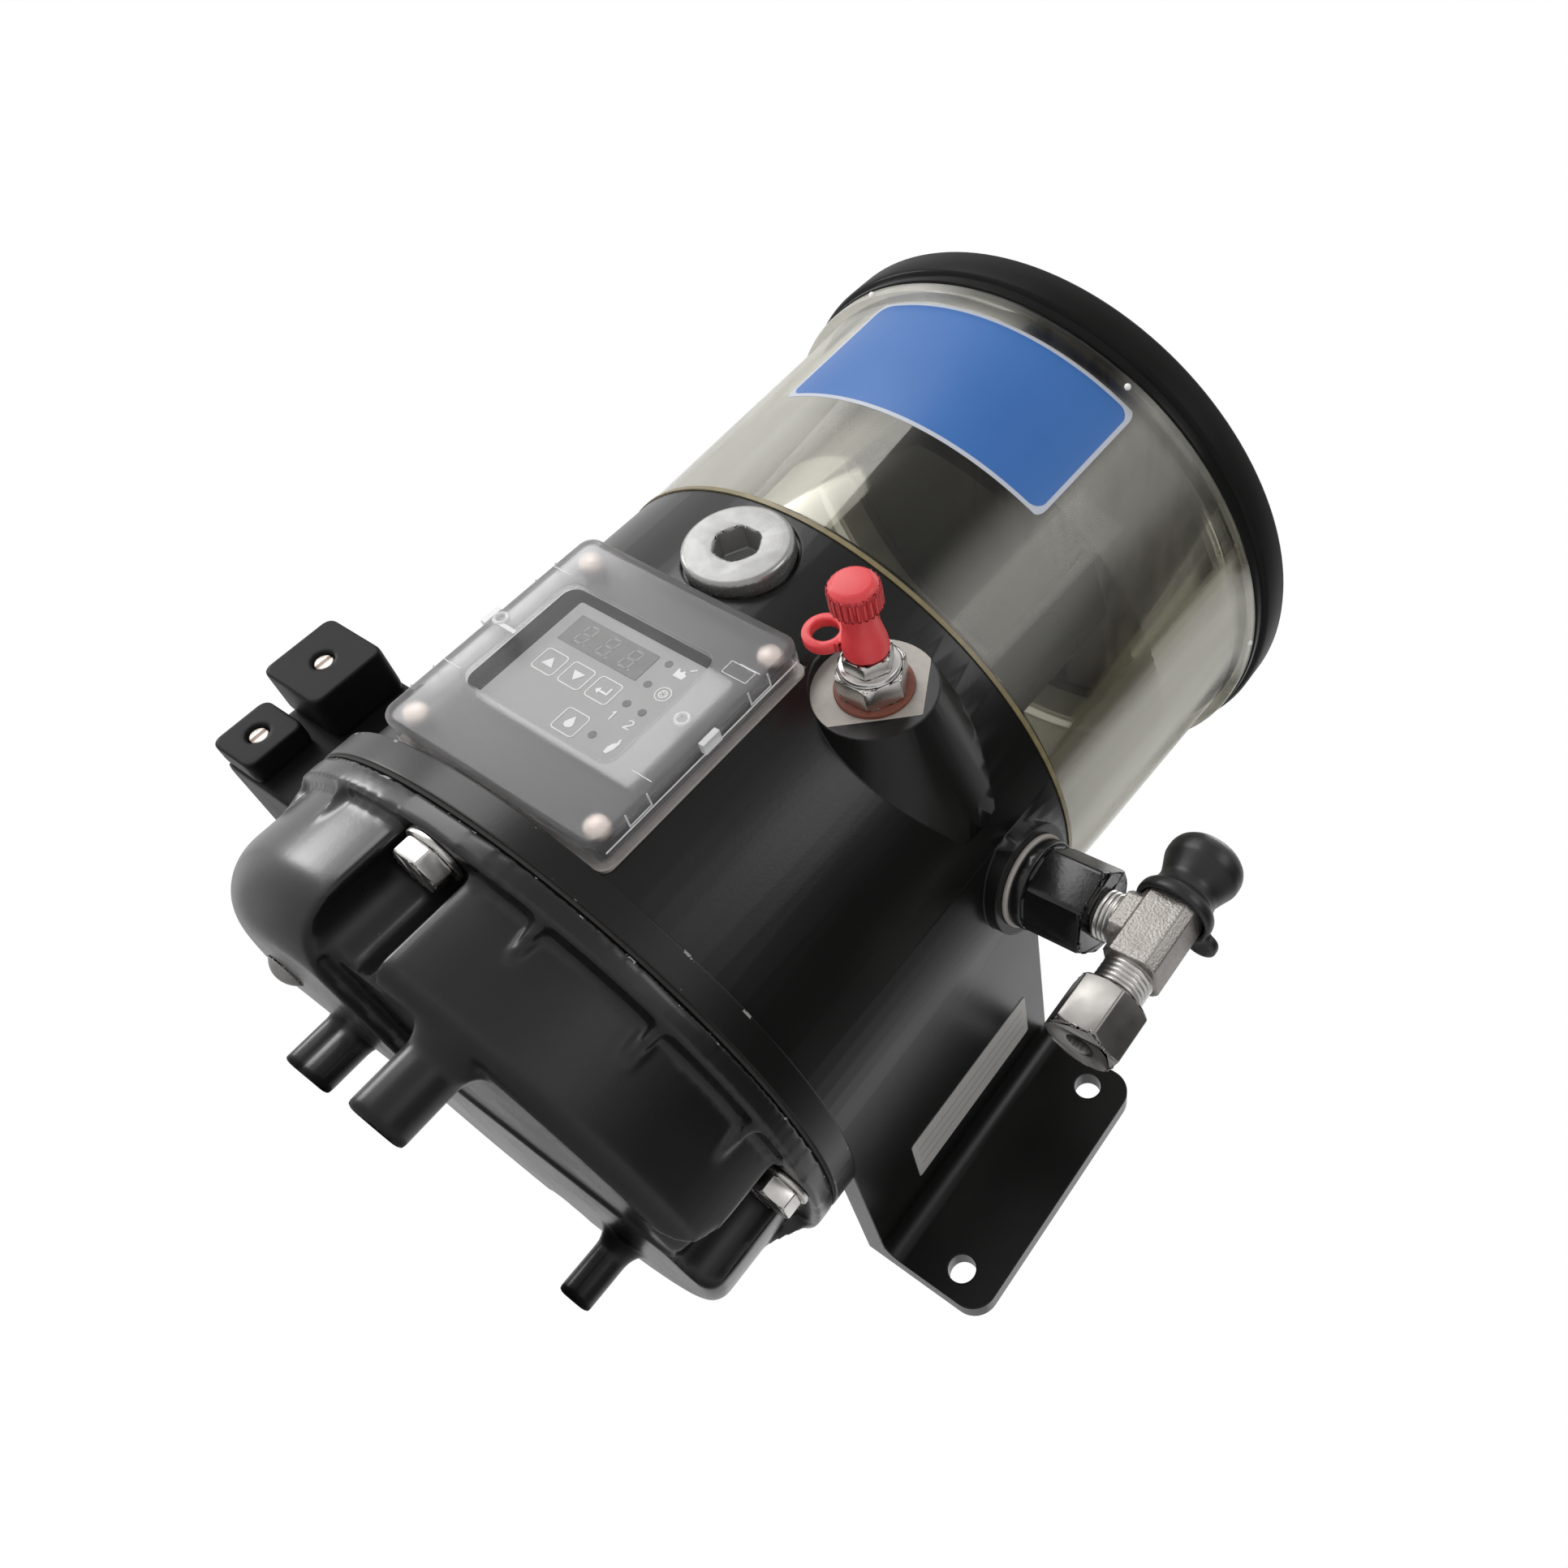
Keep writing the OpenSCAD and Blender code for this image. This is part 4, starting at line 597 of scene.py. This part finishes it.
# Rating plate: a pale paper label with round corners, stuck on the right wall of the bracket.
# It carries fine ruled lines.
plate_from, plate_to, plate_low, plate_high = 53.0, 77.0, 70.0, 131.0
plate_t, plate_x = 0.2, 90.12
plate = bmesh.new()
bmesh.ops.create_cube(plate, size=1)
bmesh.ops.scale(plate, vec=(plate_t, plate_to - plate_from, plate_high - plate_low), verts=plate.verts)
short = [e for e in plate.edges if abs(e.verts[0].co.x - e.verts[1].co.x) > plate_t / 2]
bmesh.ops.bevel(plate, geom=short, offset=1.2, segments=4, profile=0.5, affect="EDGES", material=-1)
plate_at = (plate_x, (plate_from + plate_to) / 2, (plate_low + plate_high) / 2)
bmesh.ops.translate(plate, vec=plate_at, verts=plate.verts)
plate_paper, shader, place = finish("plate_paper", (0.45, 0.44, 0.42), 0.5)
x = place.add("SeparateXYZ", None, {"Vector": place})
y, z = x.also("Y"), x.also("Z")
rule_pitch = 0.0052
rules = abs(y.maths("FRACT", y * (1 / rule_pitch)) - 0.5) < 0.05
middle_y, middle_z = (plate_from + plate_to) / 2000, (plate_low + plate_high) / 2000
inside = (abs(y - middle_y) < 0.0098) * (abs(z - middle_z) < 0.0282)
tone = grain(place, 0.02, 3.0).tint((0.46, 0.45, 0.43, 1), (0.36, 0.35, 0.33, 1))
(rules * inside * 0.8).tint(tone, (0.12, 0.12, 0.12, 1)).into(shader, "Base Color")
settled(plate, "rating_plate", plate_paper)


# Controller gasket and base: a cream foam frame on the flat seat, and the black moulded base on it.
# The board sits behind the base and isn't seen.
cream, shader, place = finish("cream_gasket", (0.52, 0.48, 0.44), 0.7)
grain(place, 0.0015, 4.0).tint((0.50, 0.46, 0.43, 1), (0.36, 0.33, 0.30, 1)).into(shader, "Base Color")
cast("controller_gasket", "controller_frame", cream)
base_black, shader, place = finish("base_black", (0.012, 0.012, 0.012), 0.5)
grain(place, 0.003, 3.0).tint((0.01, 0.01, 0.01, 1), (0.018, 0.018, 0.018, 1)).into(shader, "Base Color")
relief(place, grain(place, 0.0006), 0.00004, shader)
cast("controller_base", "controller_tray", base_black)
board_green, shader, place = finish("board_green", (0.02, 0.13, 0.06), 0.4)
grain(place, 0.004, 2.0).tint((0.02, 0.12, 0.05, 1), (0.03, 0.17, 0.08, 1)).into(shader, "Base Color")
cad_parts["control_board"].data.materials.clear()
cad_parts["control_board"].data.materials.append(board_green)


# Keypad: a grey printed film on the base, with four keys, five lamp windows and a dark display.
# The signs are white ink: arrows, an enter arrow, a drop, digits and small pictures.
ctrl_mid = sum(corner.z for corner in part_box("controller_cover")) * 500


def on_front(x, y, z):
    """Takes a shape made round Z to the front: its height runs out along -Y from y, and z counts from the
    controller's middle."""
    return Matrix(((1, 0, 0, x), (0, 0, -1, y), (0, 1, 0, ctrl_mid + z), (0, 0, 0, 1)))


def tablet(width, tall, thick, radius, steps=4):
    """A flat block with round corners, its back at zero height."""
    mesh = bmesh.new()
    bmesh.ops.create_cube(mesh, size=1)
    bmesh.ops.scale(mesh, vec=(width, tall, thick), verts=mesh.verts)
    bmesh.ops.translate(mesh, vec=(0, 0, thick / 2), verts=mesh.verts)
    upright = [e for e in mesh.edges if abs(e.verts[0].co.z - e.verts[1].co.z) > thick / 2]
    bmesh.ops.bevel(mesh, geom=upright, offset=radius, segments=steps, profile=0.5, affect="EDGES",
                    material=-1)
    return mesh


pad_face = -89.2
grey_film, shader, place = finish("keypad_film", (0.33, 0.325, 0.325), 0.38)
grain(place, 0.012, 3.0).tint((0.31, 0.305, 0.305, 1), (0.36, 0.355, 0.355, 1)).into(shader, "Base Color")
relief(place, grain(place, 0.0005), 0.00003, shader)
pad_w, pad_h, pad_t = 54.4, 38.0, 1.2
settled(tablet(pad_w, pad_h, pad_t, 0.8), "keypad_film", grey_film, "keypad",
        move=on_front(1.8, pad_face + pad_t, 1.0))

ink_white, shader, place = finish("white_ink", (0.82, 0.82, 0.82), 0.5)
grain(place, 0.002).tint((0.80, 0.80, 0.80, 1), (0.88, 0.88, 0.88, 1)).into(shader, "Base Color")
signs = bmesh.new()


def patch(mesh, x, z, corners, thick=0.1, face_y=pad_face):
    """A flat printed shape from its corner points, round the place x, z."""
    points = [mesh.verts.new((px, pz, 0)) for px, pz in corners]
    face = mesh.faces.new(points)
    up = bmesh.ops.extrude_face_region(mesh, geom=[face])
    lifted = [v for v in up["geom"] if isinstance(v, bmesh.types.BMVert)]
    bmesh.ops.translate(mesh, vec=(0, 0, thick), verts=lifted)
    bmesh.ops.transform(mesh, matrix=on_front(x, face_y, z), verts=points + lifted)


def rounded(width, tall, radius, steps=5):
    """The points round a rectangle with round corners."""
    points = []
    for k, (sx, sz) in enumerate(((1, 1), (-1, 1), (-1, -1), (1, -1))):
        for s in range(steps + 1):
            a = math.pi / 2 * (k + s / steps)
            points.append((sx * (width / 2 - radius) + radius * math.cos(a),
                           sz * (tall / 2 - radius) + radius * math.sin(a)))
    return points


def outline(mesh, x, z, width, tall, radius, line, thick=0.1, face_y=pad_face):
    """A thin frame with round corners, flat on the face."""
    inner = rounded(width - 2 * line, tall - 2 * line, max(radius - line, 0.05))
    loops = []
    for height in (0, thick):
        for points in (rounded(width, tall, radius), inner):
            loops.append([mesh.verts.new((px, pz, height)) for px, pz in points])
    for low, high in ((0, 1), (1, 3), (3, 2), (2, 0)):
        for k in range(len(inner)):
            n = (k + 1) % len(inner)
            mesh.faces.new((loops[low][k], loops[low][n], loops[high][n], loops[high][k]))
    bmesh.ops.transform(mesh, matrix=on_front(x, face_y, z), verts=[v for loop in loops for v in loop])


def dot(mesh, x, z, radius, thick=0.1, steps=20):
    """A round printed spot."""
    turns = [2 * math.pi * k / steps for k in range(steps)]
    patch(mesh, x, z, [(radius * math.cos(a), radius * math.sin(a)) for a in turns], thick)


key_up, key_down, key_enter, key_drop = (-17.0, 0.4), (-7.5, 0.6), (2.0, 0.8), (2.2, -11.0)
for x, z in (key_up, key_down, key_enter, key_drop):
    outline(signs, x, z, 7.8, 7.4, 1.2, 0.32)
patch(signs, *key_up, [(-1.9, -1.3), (1.9, -1.3), (0, 1.6)])
patch(signs, *key_down, [(-1.9, 1.3), (0, -1.6), (1.9, 1.3)])
patch(signs, *key_enter, [(-2.2, -0.6), (-0.9, -1.7), (-0.9, -0.9), (1.9, -0.9), (1.9, 1.5), (1.3, 1.5),
                          (1.3, -0.3), (-0.9, -0.3), (-0.9, 0.5)])
patch(signs, *key_drop, [(0, 2.1), (-0.9, 0.5), (-1.4, -0.5), (-1.1, -1.4), (0, -1.8), (1.1, -1.4),
                         (1.4, -0.5), (0.9, 0.5)])
digit_one, digit_two = (9.7, -3.9), (15.5, -3.9)
pump_sign, spout_sign, tube_sign = (15.4, 15.2), (17.6, 17.2), (16.6, -10.7)
patch(signs, *digit_one, [(-0.1, -1.5), (0.3, -1.5), (0.3, 1.5), (-0.05, 1.5), (-0.7, 0.9), (-0.5, 0.6),
                          (-0.1, 0.9)])
patch(signs, *digit_two, [(-1, -1.5), (1, -1.5), (1, -1.1), (-0.3, -1.1), (0.9, 0.3), (0.95, 0.9), (0.6, 1.4),
                          (0, 1.55), (-0.6, 1.4), (-1, 0.9), (-0.6, 0.75), (-0.3, 1.1), (0.2, 1.15),
                          (0.55, 0.8), (0.45, 0.4), (-1, -1.1)])
patch(signs, *pump_sign, [(-1.8, -1.5), (1.2, -1.5), (1.5, 0.1), (0.6, 0.4), (0.5, 1.1), (-0.2, 1.1),
                          (-0.3, 0.4), (-1.2, 0.5), (-1.3, 1.2), (-1.9, 1.1)])
patch(signs, *spout_sign, [(-0.9, -0.3), (0.6, 0.9), (0.3, 1.2), (-1.1, 0.1)])
patch(signs, *tube_sign, [(-0.7, -2.6), (0.3, -2.7), (1.1, -0.6), (1.2, 1.2), (0.7, 2.5), (0.3, 2.4),
                          (0.4, 1.1), (-0.4, 0.4), (-0.9, -1.0)])
wheel_x, wheel_z = 15.9, 7.8
outline(signs, wheel_x, wheel_z, 4.6, 4.6, 2.29, 0.3)
outline(signs, wheel_x, wheel_z, 2.6, 2.6, 1.29, 0.35)
for k in range(6):
    angle = math.radians(60 * k)
    dot(signs, wheel_x + 0.62 * math.cos(angle), wheel_z + 0.62 * math.sin(angle), 0.22, 0.1, 8)
settled(signs, "keypad_signs", ink_white, crease=30)

lamp_dark, shader, place = finish("lamp_window", (0.06, 0.06, 0.065), 0.25)
grain(place, 0.001).tint((0.03, 0.03, 0.033, 1), (0.06, 0.06, 0.065, 1)).into(shader, "Base Color")
windows = bmesh.new()
for x, z in ((10.2, 16.0), (10.2, 8.2), (10.1, 0.8), (15.5, 0.7), (9.8, -10.9)):
    dot(windows, x, z, 1.15, 0.06, 24)
settled(windows, "lamp_windows", lamp_dark, crease=30)

display_glass, shader, place = finish("display_glass", (0.03, 0.029, 0.029), 0.2)
grain(place, 0.004).tint((0.065, 0.063, 0.063, 1), (0.09, 0.087, 0.087, 1)).into(shader, "Base Color")
settled(tablet(28.2, 9.4, 5.35, 0.3), "display_window", display_glass, "display_module",
        move=on_front(-7.5, -83.95, 12.0))
segment_grey, shader, place = finish("segment_grey", (0.30, 0.295, 0.29), 0.35)
grain(place, 0.002).tint((0.22, 0.215, 0.21, 1), (0.30, 0.295, 0.29, 1)).into(shader, "Base Color")
segments = bmesh.new()
bar_long, bar_thick, bar_tip, lean = 2.7, 0.62, 0.3, 0.16
half_long, half_thick = bar_long / 2, bar_thick / 2
bar = [(-half_long, 0), (-half_long + bar_tip, -half_thick), (half_long - bar_tip, -half_thick),
       (half_long, 0), (half_long - bar_tip, half_thick), (-half_long + bar_tip, half_thick)]
upright = [(z + lean * x, x) for x, z in bar]
point = [(-0.35, -0.35), (0.35, -0.35), (0.35, 0.35), (-0.35, 0.35)]
digit_z, digit_from, digit_pitch, segment_t, glass_face = 12.0, -15.4, 8.0, 0.06, -89.3
for digit in range(3):
    at = digit_from + digit_pitch * digit
    for level in (-3.0, 0.0, 3.0):
        patch(segments, at + lean * level, digit_z + level, bar, segment_t, glass_face)
    for side in (-1.55, 1.55):
        for level in (-1.5, 1.5):
            patch(segments, at + side + lean * level, digit_z + level, upright, segment_t, glass_face)
    patch(segments, at + 2.0, digit_z - 3.0, point, segment_t, glass_face)
settled(segments, "display_segments", segment_grey, crease=30)


# Controller cover: a clear moulded box over the keypad, frosted round a clear window and open at the back.
# It clips on at the sides and is held by four small screws that show as pale spots through the frosting.
cover_w, cover_t, cover_back, cover_face = 75.0, 74.0, 83.5, 94.5
frosted, shader, place = finish("frosted_clear", (0.93, 0.925, 0.935), 0.3, 0.0,
                                **{"Transmission Weight": 0.92, "IOR": 1.2})
x = place.add("SeparateXYZ", None, {"Vector": place})
y, z = x.also("Y"), x.also("Z") - ctrl_mid / 1000
window_w, window_t, window_round = 0.0524, 0.0393, 0.004
wide = abs(x + 0.0022) - (window_w / 2 - window_round)
tall = abs(z - 0.00165) - (window_t / 2 - window_round)
corner = (wide.most(0) ** 2 + tall.most(0) ** 2) ** 0.5
on_face = (0 - y) > 0.0922
frost = corner.step(0.0039, 0.0042) * on_face
(0.12 + 0.24 * frost).into(shader, "Roughness")
relief(place, grain(place, 0.0004, 1.0) * frost, 0.0001, shader, 0.6)
open_film = place.add("BsdfTransparent", None, {"Color": (0.97, 0.97, 0.97, 1)})
ridge = (abs(corner - 0.00405) < 0.00014) * on_face
share = (frost * 0.62 + (1 - on_face) * 0.4 + 0.02 + ridge * 0.5).least(1)
lens = place.add("MixShader", None, {0: share, 1: open_film, 2: Wire(frosted.node_tree, shader.outputs[0])})
lens.into(frosted.node_tree.nodes["Material Output"], "Surface")
cover_wall = 1.8
lid_box = tablet(cover_w, cover_t, cover_face - cover_back, 4.5, 6)
back = min(lid_box.faces, key=lambda f: f.calc_center_median().z)
bmesh.ops.delete(lid_box, geom=[back], context="FACES_ONLY")
front_edges = [e for e in lid_box.edges if all(v.co.z > cover_face - cover_back - 0.1 for v in e.verts)]
bmesh.ops.bevel(lid_box, geom=front_edges, offset=cover_wall, segments=4, profile=0.5, affect="EDGES",
                material=-1)
bmesh.ops.recalc_face_normals(lid_box, faces=lid_box.faces)
bmesh.ops.solidify(lid_box, geom=lid_box.faces[:], thickness=cover_wall)
settled(lid_box, "controller_lid", frosted, "controller_cover", crease=40,
        move=on_front(0, -cover_back, 0))

clear_ridge, shader, place = finish("clear_ridge", (0.88, 0.88, 0.89), 0.15)
grain(place, 0.002).tint((0.82, 0.82, 0.83, 1), (0.93, 0.93, 0.94, 1)).into(shader, "Base Color")
thin = place.add("MixShader", None, {0: 0.5, 1: place.add("BsdfTransparent"),
                                     2: Wire(clear_ridge.node_tree, shader.outputs[0])})
thin.into(clear_ridge.node_tree.nodes["Material Output"], "Surface")
ridges = bmesh.new()


def bar_at(mesh, low, high):
    """A small straight bar between two corners, in the controller's own place."""
    made = bmesh.ops.create_cube(mesh, size=1)["verts"]
    bmesh.ops.scale(mesh, vec=[b - a for a, b in zip(low, high)], verts=made)
    bmesh.ops.translate(mesh, vec=[(a + b) / 2 for a, b in zip(low, high)], verts=made)
    bmesh.ops.translate(mesh, vec=(0, 0, ctrl_mid), verts=made)


wall_x, thin_half = cover_w / 2, 0.1
for side in (-1, 1):
    side_x = side * wall_x
    line_from, line_to = sorted((side * 30, side * 36.5))
    for line_z in (22.5, -15.8):
        bar_at(ridges, (line_from, -94.6, line_z), (line_to, -94.45, line_z + 0.25))
    for slot_low in (16.6, -26.0):
        for end in (0.0, 7.2):
            bar_at(ridges, (side_x - thin_half, -94.0, slot_low + end),
                   (side_x + thin_half, -89.5, slot_low + end + 0.45))
        bar_at(ridges, (side_x - thin_half, -89.8, slot_low), (side_x + thin_half, -89.4, slot_low + 7.6))
    tab_from, tab_to = sorted((side_x, side * 39.2))
    bar_at(ridges, (tab_from, -93.8, -1.2), (tab_to, -90.4, 4.6))
    bar_at(ridges, (side_x - 0.15, -88.9, -34.0), (side_x + 0.15, -88.6, 34.0))
for line_x, line_z, run in ((-31.0, 0.4, 8.0), (27.2, 2.1, 3.4)):
    bar_at(ridges, (line_x - run / 2 + 2.0, -94.8, line_z - 0.7), (line_x + run / 2, -94.4, line_z + 0.5))
outline(ridges, 31.5, 20.4, 8.0, 4.2, 0.4, 0.22, 0.1, -cover_face)
settled(ridges, "controller_ridges", clear_ridge, crease=30)


def joined(mesh, part, move):
    """Moves a part to its place and adds it to a mesh."""
    bmesh.ops.transform(part, matrix=move, verts=part.verts)
    data = bpy.data.meshes.new("part")
    part.to_mesh(data)
    part.free()
    mesh.from_mesh(data)
    bpy.data.meshes.remove(data)


catches = bmesh.new()
catch_r, catch_wire = 1.75, 0.62
for catch_x, catch_z in ((-34.1, 1.8), (29.9, 2.0)):
    turns = [math.pi * k / 6 for k in range(12)]
    ring = [(catch_r + catch_wire * math.cos(a), catch_wire * math.sin(a)) for a in turns]
    loop = turned(ring, 32, closed=True)
    joined(catches, loop, on_front(catch_x, -cover_face, catch_z))
settled(catches, "controller_catches", clear_ridge)

screw_pale, shader, place = finish("pale_screw", (0.75, 0.66, 0.60), 0.35, 0.3)
grain(place, 0.001).tint((0.80, 0.70, 0.63, 1), (0.62, 0.52, 0.46, 1)).into(shader, "Base Color")
screws = bmesh.new()
head_line = [(0, 0.5), (1.4, 0.5), (1.4, 0), (2.6, 0), (3.1, 0.4), (3.3, 1.2), (2.9, 2.1), (1.9, 2.7),
             (0, 2.8)]
for x in (-31.8, 31.8):
    for z in (-30.5, 30.5):
        joined(screws, turned(head_line, 32), on_front(x, -89.6, z))
settled(screws, "controller_pins", screw_pale, "controller_screws")


# Fill plug: a turned steel plug with a hexagon socket and a flat washer, screwed into the front boss.
# The flange is faced in a lathe, so its top is matt with a bright chamfer.
turned_zinc, shader, place = finish("turned_zinc", (0.36, 0.36, 0.355), 0.4, 0.75)
cloud = grain(place, 0.003, 4.0)
x = place.add("SeparateXYZ", None, {"Vector": place})
fill_mid = sum(corner.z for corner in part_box("fill_plug")) / 2
off = (x * x + (x.also("Z") - fill_mid) ** 2) ** 0.5
face_r, mark_turns = 0.0146, 5200
matt = off < face_r
cloud.tint((0.36, 0.36, 0.355, 1), (0.29, 0.287, 0.28, 1)).into(shader, "Base Color")
(0.22 + 0.2 * matt + 0.12 * cloud).into(shader, "Roughness")
relief(place, off.maths("SINE", off * mark_turns), 0.00001, shader, 0.3)
softened("fill_plug", "fill_screw", turned_zinc, 0.0005, 3)
cast("plug_washer", "fill_washer", turned_zinc)


# Filler nipple: a zinc hexagon adapter on a red-brown fibre washer, the nipple in it, on a bare spot face.
# A soft red cap with a ribbed head and a strap loop is pushed over the nipple.
spot_bare, shader, place = finish("bare_casting", (0.42, 0.39, 0.36), 0.5, 0.1)
grain(place, 0.002, 4.0).tint((0.48, 0.45, 0.41, 1), (0.36, 0.33, 0.30, 1)).into(shader, "Base Color")
relief(place, grain(place, 0.0006), 0.00004, shader)
nipple_low, nipple_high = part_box("nipple_washer")
nipple_x, nipple_z = (nipple_low.x + nipple_high.x) * 500, (nipple_low.z + nipple_high.z) * 500
spot_r, spot_steps, seat_y = 16.8, 48, -78.0
spot_cuts = ((Vector((0.66, -0.75)), 11.0), (Vector((0.87, 0.5)), 13.5))
spot_edge = []
for step in range(spot_steps):
    a = 2 * math.pi * step / spot_steps
    spot_at = Vector((math.cos(a), math.sin(a))) * spot_r
    for cut_way, cut_at in spot_cuts:
        spot_at -= cut_way * max(spot_at.dot(cut_way) - cut_at, 0)
    spot_edge.append(tuple(spot_at))
spot = bmesh.new()
patch(spot, nipple_x, nipple_z - ctrl_mid, spot_edge, 0.15, seat_y)
settled(spot, "nipple_face", spot_bare, crease=30)

red_fibre, shader, place = finish("red_fibre", (0.20, 0.06, 0.035), 0.5)
grain(place, 0.0015, 3.0).tint((0.24, 0.07, 0.04, 1), (0.14, 0.04, 0.025, 1)).into(shader, "Base Color")
softened("nipple_washer", "nipple_ring", red_fibre, 0.0003)
softened("nipple_adapter", "nipple_hexagon", zinc, 0.0004)
softened("grease_nipple", "nipple", zinc, 0.0003)
red_soft, shader, place = finish("red_cap", (0.72, 0.045, 0.055), 0.4, 0.0, **{"Subsurface Weight": 0.15,
                                 "Subsurface Radius": (0.004, 0.001, 0.001), "Subsurface Scale": 0.5})
grain(place, 0.004, 3.0).tint((0.70, 0.04, 0.05, 1), (0.78, 0.07, 0.075, 1)).into(shader, "Base Color")
relief(place, grain(place, 0.0008), 0.00004, shader)
softened("nipple_cap", "nipple_hood", red_soft, 0.0005)


# Pump element: a black gloss steel hexagon with a collar, screwed into the side on a cream sealing ring.
# A forged tee with a threaded neck screws into it, a tube nut closes the tee's lower end, and the piston's
# spring inside shortens with the stroke.
gloss_black, shader, place = finish("gloss_black", (0.006, 0.006, 0.0063), 0.18)
dust = specks(place, 0.0018, 0.00012, 0.35)
dust.tint((0.005, 0.005, 0.0053, 1), (0.3, 0.3, 0.3, 1)).into(shader, "Base Color")
(0.14 + 0.16 * grain(place, 0.004, 3.0)).into(shader, "Roughness")
relief(place, grain(place, 0.0012), 0.00006, shader, 0.5)
softened("pump_element", "element_body", gloss_black, 0.0006)
softened("element_washer", "element_ring", cream, 0.0003)

forged, shader, place = finish("forged_zinc", (0.50, 0.47, 0.44), 0.42, 0.9)
lumps = grain(place, 0.0007, 2.0)
cloud = grain(place, 0.006, 3.0)
lumps.tint((0.25, 0.23, 0.21, 1), (0.43, 0.41, 0.39, 1)).into(shader, "Base Color")
(0.34 + 0.18 * cloud).into(shader, "Roughness")
relief(place, lumps, 0.0002, shader, 0.8)
moulded("tee_fitting", "tee", forged, 0.00035, 4)

nut_zinc, shader, place = finish("nut_zinc", (0.52, 0.50, 0.475), 0.34, 1.0)
cloud = grain(place, 0.005, 4.0)
cloud.tint((0.34, 0.33, 0.315, 1), (0.25, 0.235, 0.22, 1)).into(shader, "Base Color")
(0.26 + 0.2 * cloud).into(shader, "Roughness")
softened("tube_nut", "outlet_nut", nut_zinc, 0.0005)
softened("cutting_ring", "outlet_ring", zinc, 0.0002)
softened("relief_valve", "valve_stem", zinc, 0.0003)

element_turn = math.radians(-8)
element_way = Vector((math.cos(element_turn), math.sin(element_turn), 0))
element_z = sum(corner.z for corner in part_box("pump_element")) * 500
coil = dressed("piston_coil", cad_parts["piston_spring"].data.copy(), ground_steel,
               "piston_spring")
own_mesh(coil)


def along_element(distance):
    """Takes a shape made round Z to the element's axis, at a distance from the pump's axis."""
    side = Vector((-element_way.y, element_way.x, 0))
    spot = element_way * distance + Vector((0, 0, element_z))
    return Matrix([(side[k], float(k == 2), element_way[k], spot[k]) for k in range(3)] + [(0, 0, 0, 1)])


def thread(radius, pitch, turns):
    """Thread ridges as a turned sleeve with round crests."""
    inner = radius - 0.9
    profile = [(inner, 0)]
    for k in range(turns):
        profile += [(radius - 0.62, pitch * k), (radius, pitch * (k + 0.38)), (radius, pitch * (k + 0.62))]
    profile += [(radius - 0.62, pitch * turns), (inner, pitch * turns)]
    return turned(profile, 64, closed=True)


pitch, turns, neck_from, tee_reach, outlet_drop = 1.5, 5, 118.5, 134.9, 21.0
settled(thread(7.25, pitch, turns), "neck_thread", zinc, crease=50, move=along_element(neck_from))
tee_at = element_way * tee_reach
settled(thread(7.6, pitch, turns), "outlet_thread", zinc, crease=50,
        move=Matrix.Translation((tee_at.x, tee_at.y, element_z - outlet_drop)))


# Soft cap: a black rubber hood with a flared lip and a pull tab, moulded in one.
# It is pushed over the valve on top of the tee.
moulded("rubber_cap", "soft_hood", rubber, 0.00045, 10)


# Electrical plugs: a black box on the left of the body with a large and a small plug on its front.
# Each plug is a moulding with round corners and a sunk screw, and a cable gland stands on the box.
plug_black, shader, place = finish("plug_black", (0.01, 0.01, 0.0103), 0.4, 0.0,
                                   **{"Specular IOR Level": 0.1})
drift = grain(place, 0.01, 3.0)
drift.tint((0.009, 0.009, 0.0093, 1), (0.014, 0.014, 0.0145, 1)).into(shader, "Base Color")
(0.32 + 0.16 * drift).into(shader, "Roughness")
relief(place, grain(place, 0.0007, 1.0), 0.00004, shader, 0.5)
moulded("connector_box", "terminal_box", plug_black, 0.001, 8)
moulded("large_plug", "plug_large", plug_black, 0.0005, 16)
moulded("small_plug", "plug_small", plug_black, 0.0005, 12)
cast("plug_gaskets", "plug_seals", rubber)
softened("plug_screws", "plug_pins", screw_pale, 0.0003)
softened("cable_gland", "gland", plug_black, 0.0004)


bpy.context.view_layer.update()
